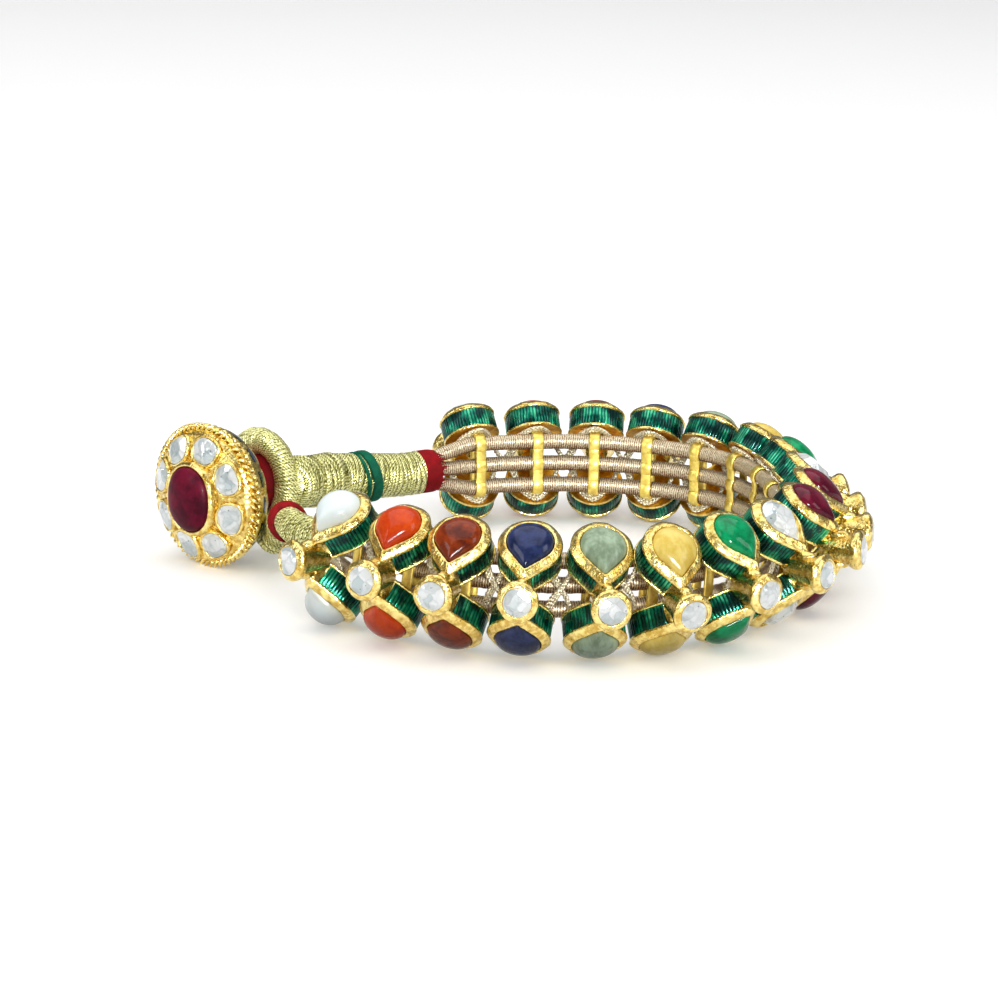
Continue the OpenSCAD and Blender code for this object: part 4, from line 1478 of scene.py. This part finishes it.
# Half profile of the button: radius, distance in front of the rim
BUTTON_PROFILE = [
    (2.0, -3.44), (5.00, -3.42), (6.10, -3.10), (7.10, -2.70), (7.75, -2.10), (8.24, -1.60), (8.50, -0.60),
    (8.55, 0.20), (8.54, 0.88), (8.36, 1.30), (8.12, 1.52), (7.75, 1.78), (7.30, 2.02), (6.80, 2.22),
    (6.20, 2.44), (5.60, 2.66), (5.00, 2.86), (4.40, 3.00), (3.40, 3.04), (2.0, 3.05),
]
DOME_COLS = 264
# Radii between which the front has its relief
RELIEF_FROM, RELIEF_TO = 4.5, 8.2
# Hammer marks of the dome: flats round it, depth
DOME_MARKS = (37, 0.02)
PETALS = 8
PETAL_OUTLINE_POINTS = 30
PETAL_HALF = (1.60, 1.85)


def petal_axes():
    """Axes of every small stone: X outward from the ruby, Z out of the stone."""
    found = []
    for part in loose_parts("button_stones"):
        inward, base = largest_flat(*part)
        centre = base.mean(0)
        found.append(Axes(centre, centre - button.origin, -inward))
    return found


petals = petal_axes()
print("button at", button.origin.round(2), "petals", len(petals))

# %% [markdown]
# Gold is worked up between the petals: each has a raised edge of its own, and the field
# between them is cut with fine lines. The dome's surface is a ring grid, lifted near each
# petal's edge. The oval bezel is lofted from a table, like the boxes.

# %% Button gold
RUBY_HALF = (3.5, 4.1)
# Bezel round the ruby: distance outside the stone, height, share of the hammer marks
BEZEL_PROFILE = [
    (0.95, 2.60, 0.6), (0.80, 3.05, 0.8), (0.66, 3.50, 1.0), (0.58, 3.85, 0.8), (0.44, 4.04, 0.5),
    (0.24, 4.12, 0.3), (0.06, 4.06, 0.2), (0.02, 3.90, 0.0), (0.02, 2.95, 0.0), (-1.6, 2.95, 0.0),
]
# Raised edge round a petal stone: distance outside the stone, height over its base
SEAT_PROFILE = [
    (0.40, -0.35), (0.34, 0.22), (0.26, 0.46), (0.12, 0.52), (0.02, 0.40), (-0.02, 0.05), (-0.9, 0.05),
]
OVAL_POINTS = 120
# How square a petal stone is: 2 is an ellipse, more is squarer
SQUARENESS = 2.6


def oval(grow, count):
    """Points of the ruby's oval, grown outward by some millimetres."""
    turn = full_turn(count)
    straight = RUBY_HALF[1] - RUBY_HALF[0]
    r = RUBY_HALF[0] + grow
    ends = np.tanh(np.sin(turn) * 3.0) / math.tanh(3.0)
    return np.column_stack([r * np.cos(turn), r * np.sin(turn) + straight * ends])


def petal_outline(grow, number, count=PETAL_OUTLINE_POINTS):
    """Outline of a petal stone with X away from the ruby: a rounded block, uneven like a natural stone."""
    turn = full_turn(count)
    uneven = 1.0 + hammer_flats(count, 7, 0.05, np.random.default_rng(970 + number))
    sharp = np.abs(np.cos(turn)) ** SQUARENESS + np.abs(np.sin(turn)) ** SQUARENESS
    square = sharp ** (-1.0 / SQUARENESS) * uneven
    taper = 1.0 + 0.12 * np.cos(turn)
    return np.column_stack([(PETAL_HALF[0] + grow) * np.cos(turn) * square,
                            (PETAL_HALF[1] + grow) * np.sin(turn) * square * taper])


def lofted_ring(pile, axes, outlines, heights):
    """Surface through closed outlines at their heights, with both ends closed."""
    count = len(outlines[0])
    points = np.concatenate([np.column_stack([outline, np.broadcast_to(height, count)])
                             for outline, height in zip(outlines, heights)])
    pile.add(axes.out(points), [face[::-1] for face in tube_faces(len(outlines), count)])


def twisted_wire(pile, axes, ring_r, height, ply_r, twists):
    """Two wires twisted round each other and laid in a ring."""
    rows, cols = twists * 10, 7
    angle = full_turn(rows)
    outward = round_points(1.0, angle, 0.0)
    for half in (0.0, math.pi):
        spin = angle * twists + half
        wire_r = ring_r + ply_r * 0.95 * np.cos(spin)
        centre = round_points(wire_r, angle, height + ply_r * 0.95 * np.sin(spin))
        rings = ring_points(centre, ply_r, outward, np.tile(UP, (rows, 1)), full_turn(cols))
        pile.add(axes.out(rings.reshape(-1, 3)), grid_faces(rows, cols, close_rows=True))


def petal_phase():
    """Angle of the first petal stone round the button."""
    local = petals[0].origin - button.origin
    return math.atan2(float(local @ button.y), float(local @ button.x))


def dome_relief(radius, turn):
    """Lift of the dome's surface: fine cut rays and a lobed ridge outside every petal."""
    if radius < RELIEF_FROM or radius > RELIEF_TO:
        return 0.0
    lobe = np.cos((turn - petal_phase()) * PETALS)
    ridge_r = 8.02 + 0.22 * lobe
    ridge = 0.14 * np.exp(-((radius - ridge_r) / 0.20) ** 2)
    between = np.clip(-lobe, 0.0, 1.0) ** 2
    rays = 0.05 * np.sin(turn * 88.0) * between
    return ridge + rays


def refine(profile, parts):
    """The same profile with each stretch cut into parts."""
    profile = np.asarray(profile)
    for a, b in zip(profile[:-1], profile[1:]):
        for k in range(parts):
            yield a + (b - a) * k / parts
    yield profile[-1]


def button_dome(pile, rng):
    """The button's case, turned from its half profile, beaten and with the relief of its front."""
    turn = full_turn(DOME_COLS)
    rings = []
    for radius, height in refine(BUTTON_PROFILE, 3):
        push = hammer_flats(DOME_COLS, *DOME_MARKS, rng)
        rings.append(round_points(radius + push, turn, height + push * 0.6 + dome_relief(radius, turn)))
    pile.add(button.out(np.concatenate(rings)), tube_faces(len(rings), DOME_COLS))


def button_gold():
    """All the gold of the button: dome, bezel, seats of the petal stones, wire and grains."""
    rng = np.random.default_rng(950)
    pile = Pile()
    button_dome(pile, rng)
    marks = hammer_flats(OVAL_POINTS, 30, 0.05, rng)
    outlines = [oval(grow, OVAL_POINTS) * (1.0 + marks * share * 0.3)[:, None]
                for grow, _, share in BEZEL_PROFILE]
    heights = [height + marks * share for _, height, share in BEZEL_PROFILE]
    lofted_ring(pile, button, outlines, heights)
    for number, seat in enumerate(petals):
        edge = hammer_flats(PETAL_OUTLINE_POINTS, 8, 0.05, rng)
        lofted_ring(pile, seat, [petal_outline(grow, number) for grow, _ in SEAT_PROFILE],
                    [height + edge * (height > 0.1) for _, height in SEAT_PROFILE])
    twisted_wire(pile, button, *EDGE_WIRE)
    for k in range(GRAINS):
        turn = 2.0 * math.pi * k / GRAINS
        size = GRAIN_R * rng.uniform(0.90, 1.06)
        gold_lump(pile, button, round_points(GRAIN_RING_R, turn, GRAIN_HEIGHT), (size, size, size), 7, 10)
    return pile.piece("button_gold", [rim_gold], "gold", ["button_case"])


button_piece = button_gold()
print("button gold:", len(button_piece.data.polygons), "faces")

# %% [markdown]
# The ruby is one large, cloudy oval cabochon. The petal stones are cleaved like the
# collets' diamonds. On the bowl behind, petals of dark blue and green enamel lie between
# gold lines.

# %% Ruby, petal diamonds and enamelled back
RUBY_GIRDLE = 3.92
RUBY_RISE = 1.45
# An enamel petal of the back, from its root to its tip: share of its length, radius, height
BACK_PETAL = [
    (0.0, 5.3, -3.36), (0.30, 6.4, -3.00), (0.55, 7.35, -2.52), (0.75, 8.0, -1.88), (1.0, 8.42, -0.95),
]
# Half profile of the shank: radius, distance in front of the button's rim
SHANK_PROFILE = [
    (2.0, -10.55), (2.4, -10.50), (3.3, -10.0), (3.64, -9.5), (3.66, -8.4), (3.50, -7.0),
    (3.20, -5.0), (2.95, -3.42), (1.5, -3.40),
]
SHANK_COLS = 64


def button_ruby():
    """Oval cabochon: straight sides up to the girdle, then a dome."""
    pile = Pile()
    edge, rings = oval(-0.02, 96), 14
    outlines, heights = [edge] * 2, [RUBY_SEAT, RUBY_GIRDLE]
    for k in range(1, rings):
        angle = math.pi / 2.0 * k / rings
        outlines.append(edge * math.cos(angle) ** 0.9)
        heights.append(RUBY_GIRDLE + RUBY_RISE * math.sin(angle))
    lofted_ring(pile, button, outlines, heights)
    return pile.piece("ruby_cabochon", [large_ruby], "ruby", ["button_ruby"])


def petal_diamonds():
    """The eight uncut diamonds round the ruby."""
    rng = np.random.default_rng(960)
    pile = Pile()
    for number, seat in enumerate(petals):
        cleaved_stone(pile, seat, petal_outline(0.0, number, 22), -0.05, 0.34, 0.46, rng, 10)
    return pile.piece("petal_diamonds", [diamond_finish], "diamond", ["button_stones"])


def enamelled_back():
    """Petals of enamel on the bowl's back, blue and green in turn."""
    pile = Pile()
    rows, cols = 9, 13
    shares, radii, heights = zip(*BACK_PETAL)
    across = np.linspace(-1.0, 1.0, cols)
    for k in range(2 * PETALS):
        middle = 2.0 * math.pi * k / (2 * PETALS)
        grid = []
        for u in np.linspace(0.0, 1.0, rows):
            spread = 0.165 * math.sin(math.pi * (0.10 + 0.80 * u)) ** 0.3
            puff = 0.05 + 0.10 * (1.0 - across * across) * math.sin(math.pi * (0.03 + 0.94 * u))
            radius = np.interp(u, shares, radii) + puff * u
            height = np.interp(u, shares, heights) - puff * (1.0 - u)
            grid.append(round_points(radius, middle + spread * across, height))
        pile.add(button.out(np.concatenate(grid)), grid_faces(rows, cols, close_cols=False)[:, ::-1], k % 2)
    return pile.piece("button_back_enamel", [back_blue, back_green], "back_enamel")


def silk_shank():
    """Shank behind the button, wound with crimson silk."""
    pile = Pile()
    profile = np.array(list(refine(SHANK_PROFILE, 6)))
    rings = round_points(profile[:, :1], full_turn(SHANK_COLS), profile[:, 1:])
    pile.tube(button.out(rings), profile[:, 1])
    return pile.piece("silk_shank", [red_silk], "red_silk", ["shank"])


button_parts = [button_ruby(), petal_diamonds(), enamelled_back(), silk_shank()]
print("button parts:", [piece.name for piece in button_parts])

# %% [markdown]
# ## Floor and light
# A jewel shows its metal only when it has something to mirror. Large soft lights above, left
# and right give broad highlights with gaps between them, so that the gold reads as bright
# and deep in turn. Two narrow strips in front draw the slanted glints on the polished
# stones. They are seen only as reflections, because they would stripe matt surfaces. The
# fill in front lights only matt surfaces, because its image would cover the polished ones.
# The floor is plain and pale. It doesn't light what lies on it, but metal mirrors it.

# %% Floor and studio light
FLOOR_HALF = 3.0
# Nearer to the Z axis than this, in metres, a light hangs overhead and is level along X
OVERHEAD = 0.3


def studio_floor():
    """Pale floor with a little light of its own, so that it stays as bright as the photograph's ground."""
    mesh = bpy.data.meshes.new("studio_floor")
    corners = [(x * FLOOR_HALF, y * FLOOR_HALF, 0.0) for x, y in ((-1, -1), (1, -1), (1, 1), (-1, 1))]
    mesh.from_pydata(corners, [], [(0, 1, 2, 3)])
    floor = bpy.data.objects.new("studio_floor", mesh)
    paper = Finish("pale_paper")
    tone = paper.blend(paper.noise(40.0), (0.92, 0.92, 0.92), (0.94, 0.94, 0.94))
    mesh.materials.append(paper.done(Base_Color=tone, Roughness=0.9, Emission_Color=(1.0, 1.0, 1.0),
                                     Emission_Strength=0.16))
    bpy.context.collection.objects.link(floor)
    floor.visible_diffuse = False


def soft_light(name, place, size, roll, power):
    """Soft light of a width and height that looks at the bracelet, turned about its own beam."""
    lamp = bpy.data.lights.new(name, "AREA")
    lamp.shape = "RECTANGLE"
    lamp.size, lamp.size_y = size
    lamp.energy = power
    light = bpy.data.objects.new(name, lamp)
    beside = abs(place[0]) + abs(place[1]) > OVERHEAD
    level = np.cross(UP, place) if beside else np.array([1.0, 0.0, 0.0])
    aim = Axes(place, level, place)
    turn = np.eye(4)
    lean = math.radians(roll)
    turn[:3, 0] = aim.x * math.cos(lean) + aim.y * math.sin(lean)
    turn[:3, 1] = aim.y * math.cos(lean) - aim.x * math.sin(lean)
    turn[:3, 2], turn[:3, 3] = aim.z, place
    light.matrix_world = Matrix(turn)
    bpy.context.collection.objects.link(light)
    return light


# Soft lights: name, place in metres, width and height in metres, roll in degrees, power in watts
LIGHTS = [
    ("top_box", (0.0, 0.15, 0.90), (1.20, 1.20), 0, 7.2),
    ("left_box", (-0.75, -0.40, 0.48), (0.40, 0.55), 0, 2.8),
    ("right_box", (0.70, -0.30, 0.38), (0.30, 0.50), 0, 2.0),
    ("front_fill", (0.0, -0.85, 0.38), (0.70, 0.30), 0, 3.2),
    ("first_strip", (0.07, -0.85, 0.27), (0.022, 0.24), -30, 6.0),
    ("second_strip", (0.17, -0.83, 0.30), (0.022, 0.18), -30, 5.0),
]
for name, *row in LIGHTS:
    light = soft_light(name, *row)
    light.visible_diffuse = "strip" not in name
    light.visible_glossy = "fill" not in name
studio_floor()
world = bpy.data.worlds.new("studio_air")
world.use_nodes = True
world.node_tree.nodes["Background"].inputs["Color"].default_value = (1.0, 1.0, 1.0, 1.0)
world.node_tree.nodes["Background"].inputs["Strength"].default_value = 0.22
bpy.context.scene.world = world
bpy.context.scene.view_settings.view_transform = "Standard"
print("lights:", len(LIGHTS))
